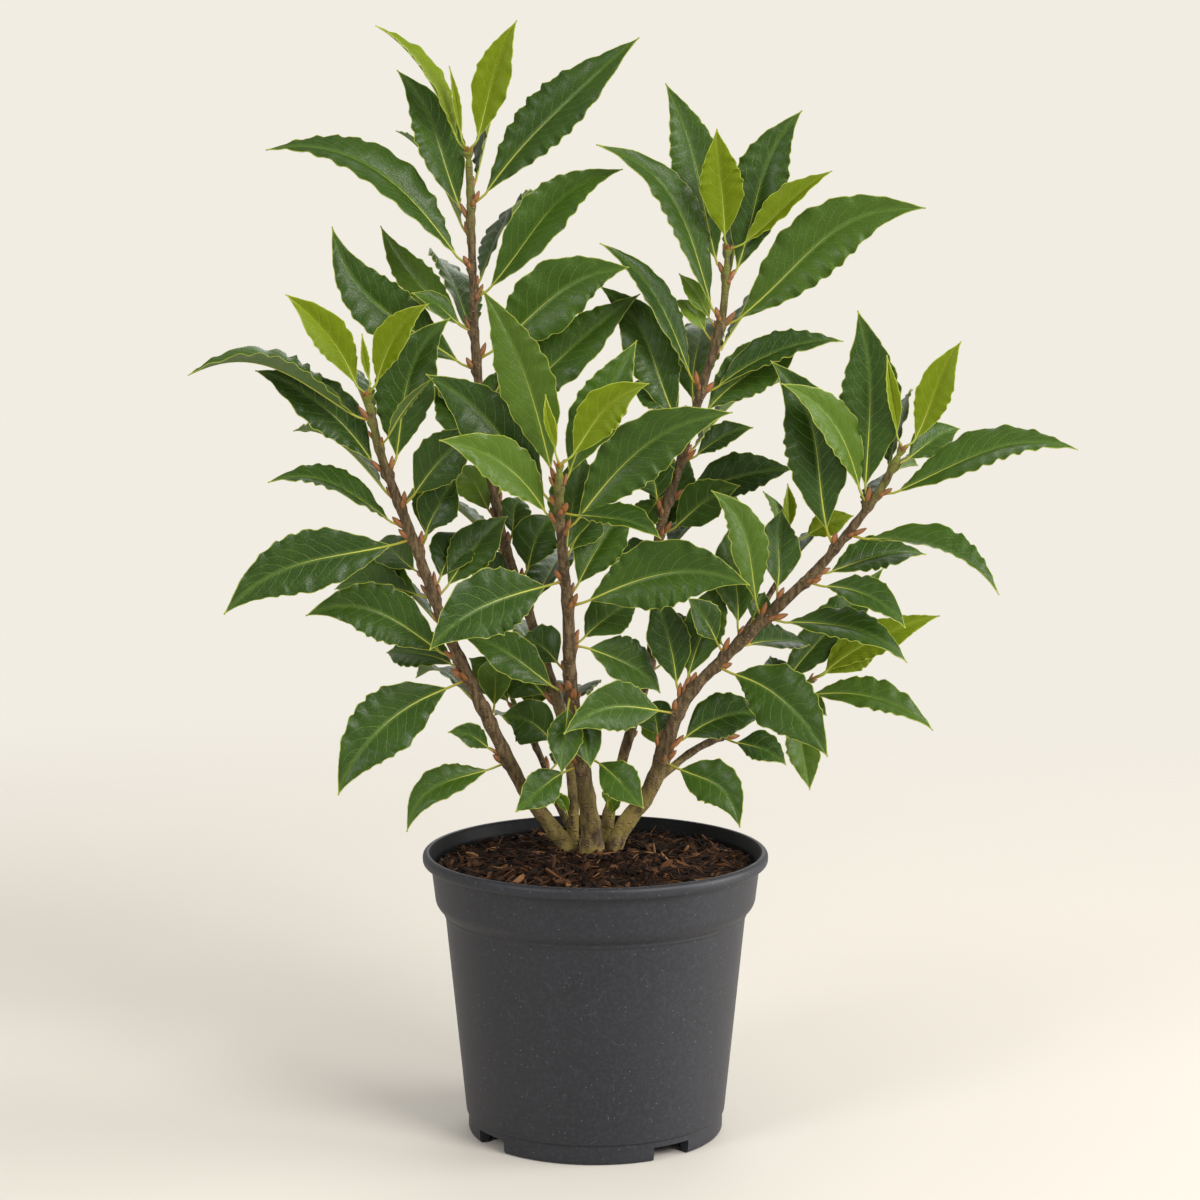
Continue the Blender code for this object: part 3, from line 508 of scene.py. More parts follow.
class Midrib:
    """The line that a leaf is built on, from its foot on the stem to its tip."""

    def __init__(self, root, tangent, radius, leaf, rng):
        self.leaf, self.root = leaf, root
        self.along, self.across, self.normal, self.rise, self.length = leaf_frame(leaf)
        self.away = unit(self.along - self.along.dot(tangent) * tangent)
        self.twist = math.radians(rng.uniform(-TWIST, TWIST))
        self.petiole_end = min(LONGEST_PETIOLE, (radius + PETIOLE) / self.length)
        self.start = 0.4 * radius / self.length
        self.sway = rng.uniform(-SWAY, SWAY) * self.length

    def at(self, t):
        """Points, and the directions ahead, out of the upper face and to the side."""
        def line(t):
            t = t[:, None]
            bow = BOW * t * (1 - t) * (0.5 + t)
            off = smooth(0, 1, t / self.petiole_end) * (1 - t) ** 2
            return (self.root + self.along * self.length * t + self.rise * self.leaf.arch * bow
                    + self.away * STAND_OFF * off
                    + self.across * self.sway * np.sin(math.tau * t))
        t = np.asarray(t, float)
        ahead = unit(line(t + 0.004) - line(t - 0.004))
        turned = (self.normal * np.cos(self.twist * t)[:, None]
                  + self.across * np.sin(self.twist * t)[:, None])
        out = unit(turned - (turned * ahead).sum(1, keepdims=True) * ahead)
        return line(t), ahead, out, np.cross(ahead, out)


def sheet_faces(rows, columns):
    """Quads of a closed shell: an upper and a lower grid, and the rim between them."""
    under = rows * columns
    faces = []
    for i in range(rows - 1):
        for j in range(columns - 1):
            a = i * columns + j
            quad = (a, a + 1, a + columns + 1, a + columns)
            faces.append(quad)
            faces.append(tuple(under + k for k in reversed(quad)))
    border = list(range(columns))
    border += [(i + 1) * columns - 1 for i in range(1, rows)]
    border += [(rows - 1) * columns + j for j in range(columns - 2, -1, -1)]
    border += [i * columns for i in range(rows - 2, 0, -1)]
    for a, b in zip(border, border[1:] + border[:1]):
        faces.append((b, a, under + a, under + b))
    return np.array(faces)


SHEETS = {}


def add_blade(shape, midrib, rng, tone, age, folds):
    """One leaf blade: folded on its midrib, bulging between its veins, waved at its edge."""
    leaf = midrib.leaf
    blade = midrib.length * (1 - midrib.petiole_end)
    rows = int(np.clip(blade / ROW_STEP, *ROW_RANGE))
    x = np.linspace(0, 1, rows)
    u = (1 - ENDS_FINER) * x + ENDS_FINER * (1 - np.cos(math.pi * x)) / 2
    centre, _, out, side = midrib.at(midrib.petiole_end + (1 - midrib.petiole_end) * u)
    v = np.array([-c for c in reversed(COLUMNS)] + [0.0] + list(COLUMNS))
    veins = max(FEWEST_VEINS, blade / VEIN_SPACING)
    waves = blade / (WAVE_LENGTH + WAVE_GROWTH * blade)
    half = np.maximum(leaf.width / 2 * blade_half(u), LEAST_HALF_WIDTH)
    envelope = np.sin(math.pi * np.clip(u, *WAVED_PART)) ** 0.5
    lift = np.zeros((rows, len(v)))
    reach = np.zeros((rows, len(v)))
    for sign in (-1, 1):
        mine = (v * sign > 0)
        share = np.abs(v[mine])[None, :]
        fold = math.radians(folds[sign > 0])
        phase = rng.uniform(0, 1)
        slow = math.tau * (rng.uniform(0.8, 1.7) * u + rng.uniform(0, 1))
        beat = math.tau * (waves * u + phase + WAVE_DRIFT * np.sin(slow))
        ripple = RIPPLE * np.sin(RIPPLE_RATE * beat + rng.uniform(0, 6))
        size = rng.uniform(*WAVE_SIZES)
        size = size * (1 + WAVE_SWELL * np.sin(math.tau * (1.1 * u + phase * 3)))
        wave = (np.sin(beat) + ripple) * envelope * size
        curl = rng.uniform(*CURL)
        crinkle = np.array([rng.uniform(-1, 1) for _ in range(rows)])
        stretch = 1 + SCALLOP * (np.cos(beat) + ripple) * envelope
        reach[:, mine] = (half * stretch)[:, None] * share * math.cos(fold)
        reach[:, mine] += (crinkle * CRINKLE * envelope)[:, None] * share ** 6
        rise = math.sin(fold) * share + BLADE_BULGE * share * (1 - share) * 2 + curl * share ** 2
        lift[:, mine] = half[:, None] * rise
        lift[:, mine] += (wave * WAVE * leaf.width)[:, None] * share ** 2.3
        sweep = VEIN_SWEEP * share * (VEIN_SLANT + VEIN_BEND * share)
        vein = veins * (u[:, None] - sweep) + 0.5 * (sign > 0)
        swell = 0.5 + 0.5 * np.cos(math.tau * vein)
        lift[:, mine] += QUILT * swell * np.sin(math.pi * share ** 0.8) * envelope[:, None]
    offset = reach * np.sign(v)[None, :]
    middle = (centre[:, None, :] + side[:, None, :] * offset[..., None]
              + out[:, None, :] * lift[..., None])
    # The normal of each point, so that the blade is as thick on its folded sides
    du = np.gradient(middle, axis=0)
    dv = np.gradient(middle, axis=1)
    up = unit(np.cross(dv, du))
    thick = BLADE_THICKNESS / 2 * (1 - EDGE_THINNER * np.abs(v) ** 8)[None, :, None]
    points = np.concatenate([(middle + up * thick).reshape(-1, 3),
                             (middle - up * thick).reshape(-1, 3)])
    upper = np.array([1, 0])[:, None, None]
    where = channels((2, rows, len(v)), u[:, None], v * 0.5 + 0.5, upper,
                     np.minimum(half / COLOR_SCALE, 1)[:, None])
    key = (rows, len(v))
    if key not in SHEETS:
        SHEETS[key] = sheet_faces(*key)
    shape.add(points, SHEETS[key], 0, where, (veins / COLOR_SCALE, tone, age, 1))


def ring_directions(across, up, sides):
    """Directions out of each ring of a tube."""
    turn = math.tau * np.arange(sides) / sides
    return (across[:, None, :] * np.cos(turn)[None, :, None]
            + up[:, None, :] * np.sin(turn)[None, :, None])


def tube_points(centres, across, up, radii, sides):
    ring = ring_directions(across, up, sides)
    return (centres[:, None, :] + ring * radii[:, None, None]).reshape(-1, 3)


def straight_tube(centres, across, up, radii):
    """A tube whose rings all look the same way."""
    count = len(centres)
    return tube_points(centres, np.tile(across, (count, 1)), np.tile(up, (count, 1)), radii,
                       BUD_SIDES)


def outward(turn, tangent):
    """The direction out of a stem at this turn round it."""
    out = np.array([math.cos(turn), math.sin(turn), 0])
    return unit(out - out.dot(tangent) * tangent)


def tube_faces(rings, sides):
    """Quads of the side, and a fan of quads on each end."""
    faces = []
    for i in range(rings - 1):
        for k in range(sides):
            n = (k + 1) % sides
            faces.append((i * sides + k, i * sides + n, (i + 1) * sides + n, (i + 1) * sides + k))
    last = (rings - 1) * sides
    for k in range(1, sides - 2, 2):
        faces.append((0, k + 2, k + 1, k))
        faces.append((last, last + k, last + k + 1, last + k + 2))
    return np.array(faces)


def add_rib(shape, midrib, tone, age):
    """The petiole and, running on from it, the midrib that stands out of both faces."""
    bunched = np.linspace(0, 1, RIB_STATIONS) ** RIB_BUNCHING
    t = midrib.start + (RIB_END - midrib.start) * bunched
    centre, _, out, side = midrib.at(t)
    petiole = t / midrib.petiole_end
    u = np.clip((t - midrib.petiole_end) / (1 - midrib.petiole_end), 0, 1)
    size = RIB_SIZE + RIB_GROWTH * min(1.3, midrib.leaf.width / 30)
    radius = size * (RIB_THINNEST + RIB_TAPER * (1 - u) ** 1.2)
    radius += PETIOLE_SWELLING * size * smooth(1, 0, petiole * 1.6) * (petiole < 1)
    centre = centre + out * (0.03 - 0.12 * smooth(0, 0.3, u))[:, None]
    points = tube_points(centre, side, out, radius, RIB_SIDES)
    where = channels((len(t), RIB_SIDES), u[:, None], np.clip(petiole, 0, 1)[:, None], 0, 0)
    shape.add(points, tube_faces(len(t), RIB_SIDES)[:, ::-1], 1, where, (0, tone, age, 1))


def add_leaf(shape, curve, place, leaf, age):
    """A leaf on its stem. Gives its random draws, its foot, its direction and its tone."""
    name, number, i = place
    rng = random.Random(f"{name} {number} {i}{TWIST_DRAW.get(name, '')}")
    foot = foot_on(curve, leaf.z)
    midrib = Midrib(*foot, leaf, rng)
    tone = rng.uniform(0, 1)
    add_blade(shape, midrib, rng, tone, age, FOLDED.get(place, (leaf.fold, leaf.fold)))
    add_rib(shape, midrib, tone, age)
    return rng, foot, midrib.away, tone


def add_bud(shape, foot, out, length, half, tone, slot, drop=0.0):
    """A pointed bud, in a leaf's axil or, with a drop, that far below it."""
    root, tangent, radius = foot
    across = np.cross(tangent, out)
    base = root - tangent * drop + tangent * 1.2 + out * radius * 0.8
    axis = unit(tangent * 0.86 + out * 0.5)
    out = unit(out - out.dot(axis) * axis)
    share = np.array(BUD_PLACES)
    reach = length + radius * 0.3
    bend = out * (0.06 * reach)
    centres = base + axis * (share * reach)[:, None] - bend * (share ** 2)[:, None]
    points = straight_tube(centres, out, across, np.array(BUD_WIDTHS) * half)
    where = channels((len(share), BUD_SIDES), share[:, None], 0, 0, 0)
    shape.add(points, tube_faces(len(share), BUD_SIDES), slot, where, (0, tone, 0, 1))


def add_stem(shape, route, feet, rng, slot, green=0.0):
    """A stem with bark: swollen at each leaf's foot, lumpy and never quite round."""
    curve = spline(route, STEM_STEPS)
    centres, radii = curve[:, :3], curve[:, 3]
    ahead = unit(np.gradient(centres, axis=0))
    side = np.zeros_like(ahead)
    last = np.array([1.0, 0, 0])
    for i, a in enumerate(ahead):
        last = unit(last - last.dot(a) * a)
        side[i] = last
    across = np.cross(ahead, side)
    ring = ring_directions(side, across, STEM_SIDES)
    steps = np.linalg.norm(np.diff(centres, axis=0), axis=1)
    run = np.concatenate([[0], np.cumsum(steps)])[:, None]
    angle = math.tau * np.arange(STEM_SIDES)[None, :] / STEM_SIDES
    # One draw more than there are lumps, so that the draws after it stay the same
    phases = [rng.uniform(0, 6.28) for _ in range(STEM_DRAWS)]
    lumps = sum(size * np.sin(times * angle + phase + run * rate)
                for (size, times, rate), phase in zip(STEM_LUMPS, phases))
    lumps *= 1 + 0.9 * np.exp(-run / 60)
    lumps += 0.035 * np.exp(-(run / 24) ** 2)
    radius = radii[:, None] * (1 + lumps)
    least, more = FOOT_SWELLING
    for foot, out in feet:
        along = ((centres - foot) * ahead).sum(1)[:, None]
        near = np.linalg.norm(centres - foot, axis=1)[:, None] < FOOT_REACH
        facing = np.clip((ring * out).sum(2), 0, 1)
        radius += near * np.exp(-(along / 2.4) ** 2) * (least + more * facing ** 2)
        radius -= near * SCAR_DEPTH * np.exp(-((along + 4.0) / 0.8) ** 2)
    points = centres[:, None, :] + ring * radius[..., None]
    where = channels((len(curve), STEM_SIDES), run / run[-1], run / LENGTH_SCALE,
                     np.clip(radii / RADIUS_SCALE, 0, 1)[:, None], 0)
    shape.add(points.reshape(-1, 3), tube_faces(len(curve), STEM_SIDES), slot, where,
              (0, rng.uniform(0, 1), green, 1))


def add_stub(shape, foot, out, length):
    """The dry stump of a shed leaf or cut twig."""
    root, tangent, radius = foot
    axis = unit(out * 0.75 + tangent * 0.65)
    across = np.cross(axis, tangent)
    up = np.cross(across, axis)
    share = np.array([0, 0.5, 0.85, 1.0])
    centres = root + axis * (share * (length + radius))[:, None]
    girth = np.array([1.0, 0.8, 0.85, 0.45]) * STUB_HALF
    points = straight_tube(centres, unit(up), unit(across), girth)
    shape.add(points, tube_faces(len(share), BUD_SIDES), 0, (0.3, 0.2, 0.3, 0), (0, 0.5, 0, 1))


def add_axil_buds(wood, leaf, rng, foot, away, tone):
    """The bud above a leaf's foot, and now and then a smaller one beside it."""
    big = 1.0 if leaf.width > SMALL_BUD_WIDTH else SMALL_BUD
    length = rng.uniform(*BUD_LENGTHS) * big
    add_bud(wood, foot, away, length, rng.uniform(*BUD_HALVES) * big, tone, 1)
    if rng.random() < SIDE_BUD_CHANCE:
        beside = np.cross(foot[1], away) * rng.choice((-SIDE_BUD_TURN, SIDE_BUD_TURN))
        add_bud(wood, foot, unit(away + beside), length * rng.uniform(*SIDE_BUD_LENGTHS),
                rng.uniform(*SIDE_BUD_HALVES) * big, rng.uniform(0, 1), 1, drop=1.5)


def build_stem(name, branches, materials):
    """The wood and the foliage of one leafy stem, each a piece of its own."""
    wood, foliage = Shape(), Shape()
    for number, branch in enumerate(branches):
        curve = spline(branch.route, STEM_STEPS)
        feet = []
        rows = branch.leaves + (INNER.get(name, []) if number == 0 else [])
        for i, row in enumerate(rows):
            leaf, place = Leaf(*row), (name, number, i)
            rng, foot, away, tone = add_leaf(foliage, curve, place, leaf, AGE.get(place, 0.0))
            feet.append((foot[0], away))
            if leaf.z < curve[-1][2] - BUDLESS_TOP and leaf.width > BUDLESS_WIDTH:
                add_axil_buds(wood, leaf, rng, foot, away, tone)
        rng = random.Random(f"bark {name} {number}")
        add_stem(wood, branch.route, feet, rng, 0)
        for _ in range(STUBS if number == 0 else 0):
            foot = foot_on(curve, rng.uniform(*STUB_HEIGHTS))
            out = outward(rng.uniform(0, math.tau), foot[1])
            add_stub(wood, foot, out, rng.uniform(*STUB_LENGTHS))
    bark, bud, mature, rib = materials
    short = name.replace("stem_", "")
    wood.make("wood_" + short, [bark, bud], name, "bark")
    foliage.make("foliage_" + short, [mature, rib], name, "mature_leaf")


def tip_route(tip):
    """The short green end that runs on from its stem."""
    curve = spline(tip.route, 2)
    end, before = curve[-1][:3], curve[-2][:3]
    direction = unit(end - before)
    radius = curve[-1][3]
    return [(*(end + direction * (tip.length * t - 1.5)), radius * (1.02 - TIP_TAPER * t))
            for t in (0, 0.5, 1)]


def build_tip(tip, bark, bud, young, young_rib):
    """The young growth on one tip: its green end, its leaves and its end bud."""
    shape = Shape()
    route = tip_route(tip)
    curve = spline(route, 6)
    feet = []
    for i, row in enumerate(tip.leaves):
        _, foot, away, _ = add_leaf(shape, curve, (tip.name, 0, i), Leaf(*row), 1.0)
        feet.append((foot[0], away))
    rng = random.Random(f"bark {tip.name}")
    add_stem(shape, route, feet, rng, 2, green=1.0)
    foot = foot_on(curve, curve[-1][2])
    for turn in END_BUD_TURNS:
        add_bud(shape, foot, outward(turn, foot[1]), END_BUD_LENGTH, END_BUD_HALF, rng.random(), 3,
                drop=2.5)
    shape.make("foliage_" + tip.name, [young, young_rib, bark, bud], tip.name, "young_leaf")


def turned(profile, segments):
    """Points and faces of a profile turned round z; its ends lie on the axis."""
    points = [(0, 0, profile[0][1])]
    turn = math.tau * np.arange(segments) / segments
    for radius, height in profile[1:-1]:
        points += np.stack([radius * np.cos(turn), radius * np.sin(turn),
                            np.full(segments, height)], 1).tolist()
    points.append((0, 0, profile[-1][1]))
    rings, faces = len(profile) - 2, []
    for k in range(segments):
        n = (k + 1) % segments
        faces.append((0, 1 + n, 1 + k))
        for i in range(rings - 1):
            a, b = 1 + i * segments, 1 + (i + 1) * segments
            faces.append((a + k, a + n, b + n, b + k))
        last = 1 + (rings - 1) * segments
        faces.append((last + k, last + n, len(points) - 1))
    return points, faces


def rounded(profile):
    """A profile of (radius, height, fillet) with each fillet drawn as a short curve."""
    out = []
    count = len(profile)
    for i, (r, z, fillet) in enumerate(profile):
        here = np.array([r, z], float)
        if not fillet or i in (0, count - 1):
            out.append((r, z))
            continue
        before = np.array(profile[i - 1][:2], float) - here
        after = np.array(profile[i + 1][:2], float) - here
        a = here + unit(before) * min(fillet, np.linalg.norm(before) * 0.49)
        b = here + unit(after) * min(fillet, np.linalg.norm(after) * 0.49)
        for t in np.linspace(0, 1, 6):
            p = a * (1 - t) ** 2 + here * 2 * t * (1 - t) + b * t ** 2
            out.append((float(p[0]), float(p[1])))
    return out


def simple_object(name, points, faces, materials):
    placed = ((np.asarray(points, float) + AXIS) * MM).tolist()
    return new_object(name, new_mesh(name, placed, faces, materials))


def notch_cutter(angle):
    """A wedge through the foot ring, open below."""
    half = math.radians(NOTCH_WIDTH_ANGLE / 2)
    middle = math.radians(angle - 90)
    corners = ((NOTCH_INNER, -1), (NOTCH_INNER, 1), (NOTCH_OUTER, 1), (NOTCH_OUTER, -1))
    points = []
    for height in (-5, NOTCH_HEIGHT):
        for radius, sign in corners:
            turn = middle + sign * half
            points.append((radius * math.cos(turn), radius * math.sin(turn), height))
    faces = [(3, 2, 1, 0), (4, 5, 6, 7)]
    faces += [(i, (i + 1) % 4, (i + 1) % 4 + 4, i + 4) for i in range(4)]
    return simple_object("notch_cutter", points, faces, [])


def drain_cutter(angle):
    turn = math.radians(angle - 90)
    place = np.array([DRAIN_PLACE * math.cos(turn), DRAIN_PLACE * math.sin(turn), 0])
    profile = [(0, 2), (DRAIN_RADIUS, 2), (DRAIN_RADIUS, 20), (0, 20)]
    points, faces = turned(profile, 24)
    return simple_object("drain_cutter", np.array(points) + place, faces, [])


def cut(obj, cutters):
    """Take each cutter out of the object."""
    for cutter in cutters:
        shape = bmesh.new()
        shape.from_mesh(cutter.data)
        if shape.calc_volume(signed=True) < 0:
            bmesh.ops.reverse_faces(shape, faces=shape.faces)
        shape.to_mesh(cutter.data)
        shape.free()
        modifier = obj.modifiers.new("cut", "BOOLEAN")
        modifier.operation = "DIFFERENCE"
        modifier.solver = "EXACT"
        modifier.object = cutter
    graph = bpy.context.evaluated_depsgraph_get()
    made = bpy.data.meshes.new_from_object(obj.evaluated_get(graph))
    obj.modifiers.clear()
    obj.data = made
    for cutter in cutters:
        bpy.data.objects.remove(cutter)


def build_pot(plastic, painted_shade_plastic):
    """The pot with its rolled lip, flared band, faint steps and notched foot."""
    outside = [
        (0, FLOOR_UNDERSIDE, 0), (FOOT_RADIUS - FOOT_WIDTH - 1, FLOOR_UNDERSIDE, 0.6),
        (FOOT_RADIUS - FOOT_WIDTH, 0, 0.6), (FOOT_RADIUS - 1.2, 0, 1.2),
        (FOOT_RADIUS, 1.6, 1.0), (FOOT_RADIUS, FOOT_HEIGHT - 0.7, 0.3),
        (WALL_LOW_RADIUS - 0.1, FOOT_HEIGHT + 0.1, 0.45),
        (WALL_LOW_RADIUS + 0.2, FOOT_HEIGHT + 2.6, 0.8),
        (WALL_TOP_RADIUS - 0.35, WALL_TOP_HEIGHT - 3.2, 0.4),
        (WALL_TOP_RADIUS + 0.45, WALL_TOP_HEIGHT - 2.2, 0.4),
        (WALL_TOP_RADIUS + 0.45, WALL_TOP_HEIGHT - 0.8, 0.4),
        (WALL_TOP_RADIUS + 3.4, WALL_TOP_HEIGHT + 2.4, 1.2),
        (BAND_LOW_RADIUS - 0.4, BAND_LOW_HEIGHT - 1.4, 2.0),
        (BAND_LOW_RADIUS + 0.15, BAND_LOW_HEIGHT + 3.5, 1.5),
        (BAND_TOP_RADIUS - 0.1, POT_HEIGHT - LIP_HEIGHT - 2.5, 1.0),
        (BAND_TOP_RADIUS + 0.3, POT_HEIGHT - LIP_HEIGHT, 0.6),
        (RIM_RADIUS - 0.8, POT_HEIGHT - LIP_HEIGHT + 0.2, 0.7),
        (RIM_RADIUS, POT_HEIGHT - LIP_HEIGHT + 1.6, 1.2),
        (RIM_RADIUS, POT_HEIGHT - 1.6, 1.5), (RIM_RADIUS - 1.6, POT_HEIGHT, 1.3),
        (RIM_RADIUS - LIP_WIDTH + 0.8, POT_HEIGHT, 0.7),
        (RIM_RADIUS - LIP_WIDTH, POT_HEIGHT - 1.2, 0.8),
    ]
    inside = [
        (BAND_TOP_RADIUS - WALL, POT_HEIGHT - LIP_HEIGHT, 1.0),
        (BAND_LOW_RADIUS - WALL, BAND_LOW_HEIGHT + 1, 1.0),
        (WALL_TOP_RADIUS - WALL, WALL_TOP_HEIGHT - 1, 1.0),
        (WALL_LOW_RADIUS - WALL, FLOOR_TOP, 1.0), (0, FLOOR_TOP, 0),
    ]
    points, faces = turned(rounded(outside + inside), POT_SEGMENTS)
    pot = simple_object("pot_shell", points, faces, [plastic, painted_shade_plastic])
    cut(pot, [notch_cutter(a) for a in NOTCH_ANGLES] + [drain_cutter(a) for a in NOTCH_ANGLES])
    # Faces that look in towards the axis, above the floor, take the darker copy of the plastic: painted
    # shade on the pot's inner wall
    for face in pot.data.polygons:
        outward = (face.center - Vector(AXIS * MM)).to_2d().normalized()
        if face.normal.to_2d().dot(outward) < -0.5 and face.center.z > FLOOR_TOP * MM:
            face.material_index = 1
    pot.data.shade_smooth()
    pot.data.set_sharp_from_angle(angle=math.radians(38))
    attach(pot, "root")
    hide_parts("pot")


def ground_height(x, y):
    """The mound's surface: broad lumps, crumbs and pits, and a collar round the stems."""
    share = math.hypot(x, y) / (BAND_TOP_RADIUS - WALL)
    lumps = sum(height * noise.noise((x / breadth, y / breadth, slice_at))
                for height, breadth, slice_at in SOIL_LUMPS)
    collar = SOIL_COLLAR * math.exp(-(x * x + y * y) / COLLAR_RADIUS ** 2)
    return SOIL_EDGE_HEIGHT + SOIL_MOUND * (1 - share ** 2) + lumps + collar


def build_soil(earth):
    """The compost's body, with a rough top."""
    wall = [(WALL_LOW_RADIUS - WALL, FLOOR_TOP + SOIL_GAP),
            (WALL_TOP_RADIUS - WALL, WALL_TOP_HEIGHT - 1),
            (BAND_LOW_RADIUS - WALL, BAND_LOW_HEIGHT + 1)]
    edge = BAND_TOP_RADIUS - WALL - 0.9
    profile = [(0, FLOOR_TOP + SOIL_GAP)] + [(r - SOIL_GAP, z) for r, z in wall]
    profile += [(edge * (1 - i / SOIL_RINGS), SOIL_EDGE_HEIGHT) for i in range(SOIL_RINGS)]
    profile += [(0, SOIL_EDGE_HEIGHT)]
    points, faces = turned(profile, SOIL_SEGMENTS)
    lifted = [(x, y, ground_height(x, y) if z == SOIL_EDGE_HEIGHT else z) for x, y, z in points]
    soil = simple_object("soil_body", lifted, faces, [earth])
    soil.data.shade_smooth()
    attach(soil, "root")
    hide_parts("soil")


def build_bits(material):
    """Shredded bark and coir: small bent chips and strands, strewn over the mound."""
    rng = random.Random("bits")
    shape = Shape()
    faces = tube_faces(BIT_RINGS, 4)
    limit = BAND_TOP_RADIUS - WALL - 1.5
    for _ in range(SOIL_BITS):
        place = limit * math.sqrt(rng.random()) * 0.985
        turn = rng.uniform(0, math.tau)
        x, y = place * math.cos(turn), place * math.sin(turn)
        strand = rng.random() < STRAND_SHARE
        lengths, widths = STRAND if strand else CHIP
        length = rng.uniform(*lengths)
        wide = rng.uniform(*widths)
        thick = wide * (STRAND_FLATNESS if strand else rng.uniform(*CHIP_FLATNESS))
        heading = rng.uniform(0, math.tau)
        pitch = rng.gauss(0, BIT_PITCH)
        axis = np.array([math.cos(heading) * math.cos(pitch), math.sin(heading) * math.cos(pitch),
                         math.sin(pitch)])
        reach = np.hypot(x, y) + length / 2
        if reach > limit:
            length = max(SHORTEST_BIT, length - (reach - limit) * 2)
        roll = rng.uniform(0, math.pi)
        up = np.array([0, 0, 1.0])
        side = unit(np.cross(axis, up))
        lifted = np.cross(side, axis)
        across = side * math.cos(roll) + lifted * math.sin(roll)
        upward = np.cross(axis, across)
        share = np.linspace(-0.5, 0.5, BIT_RINGS)
        bend = rng.uniform(-BIT_BEND, BIT_BEND) * length
        centre = np.array([x, y, ground_height(x, y) + rng.uniform(-0.2, 1.5)])
        centres = (centre + axis * (share * length)[:, None]
                   + across * (bend * (0.25 - share ** 2))[:, None]
                   + up * (-0.1 * length * (share ** 2))[:, None])
        taper = np.array([rng.uniform(0.35, 0.9), 1, rng.uniform(0.8, 1.1), rng.uniform(0.2, 0.8)])
        corner = np.array([(1, 1), (-1, 1), (-1, -1), (1, -1)], float)
        points = (centres[:, None, :]
                  + across[None, None, :] * (corner[None, :, 0] * taper[:, None] * wide / 2)[..., None]
                  + upward[None, None, :] * (corner[None, :, 1] * taper[:, None] * thick / 2)[..., None])
        tone = rng.random() ** 2.5
        shape.add(points.reshape(-1, 3), faces, 0, (0, 0, 0, 0), (tone, rng.random(), float(strand), 1))
    shape.make("soil_bits", [material], "soil", "potting_soil", sharp=30)


class Value:
    """The output of a node, which can be reckoned with like a number."""

    def __init__(self, graph, socket):
        self.graph, self.socket = graph, socket

    def __add__(self, other):
        return self.graph.math("ADD", self, other)

    def __sub__(self, other):
        return self.graph.math("SUBTRACT", self, other)

    def __rsub__(self, other):
        return self.graph.math("SUBTRACT", other, self)

    def __mul__(self, other):
        return self.graph.math("MULTIPLY", self, other)

    def __abs__(self):
        return self.graph.math("ABSOLUTE", self)


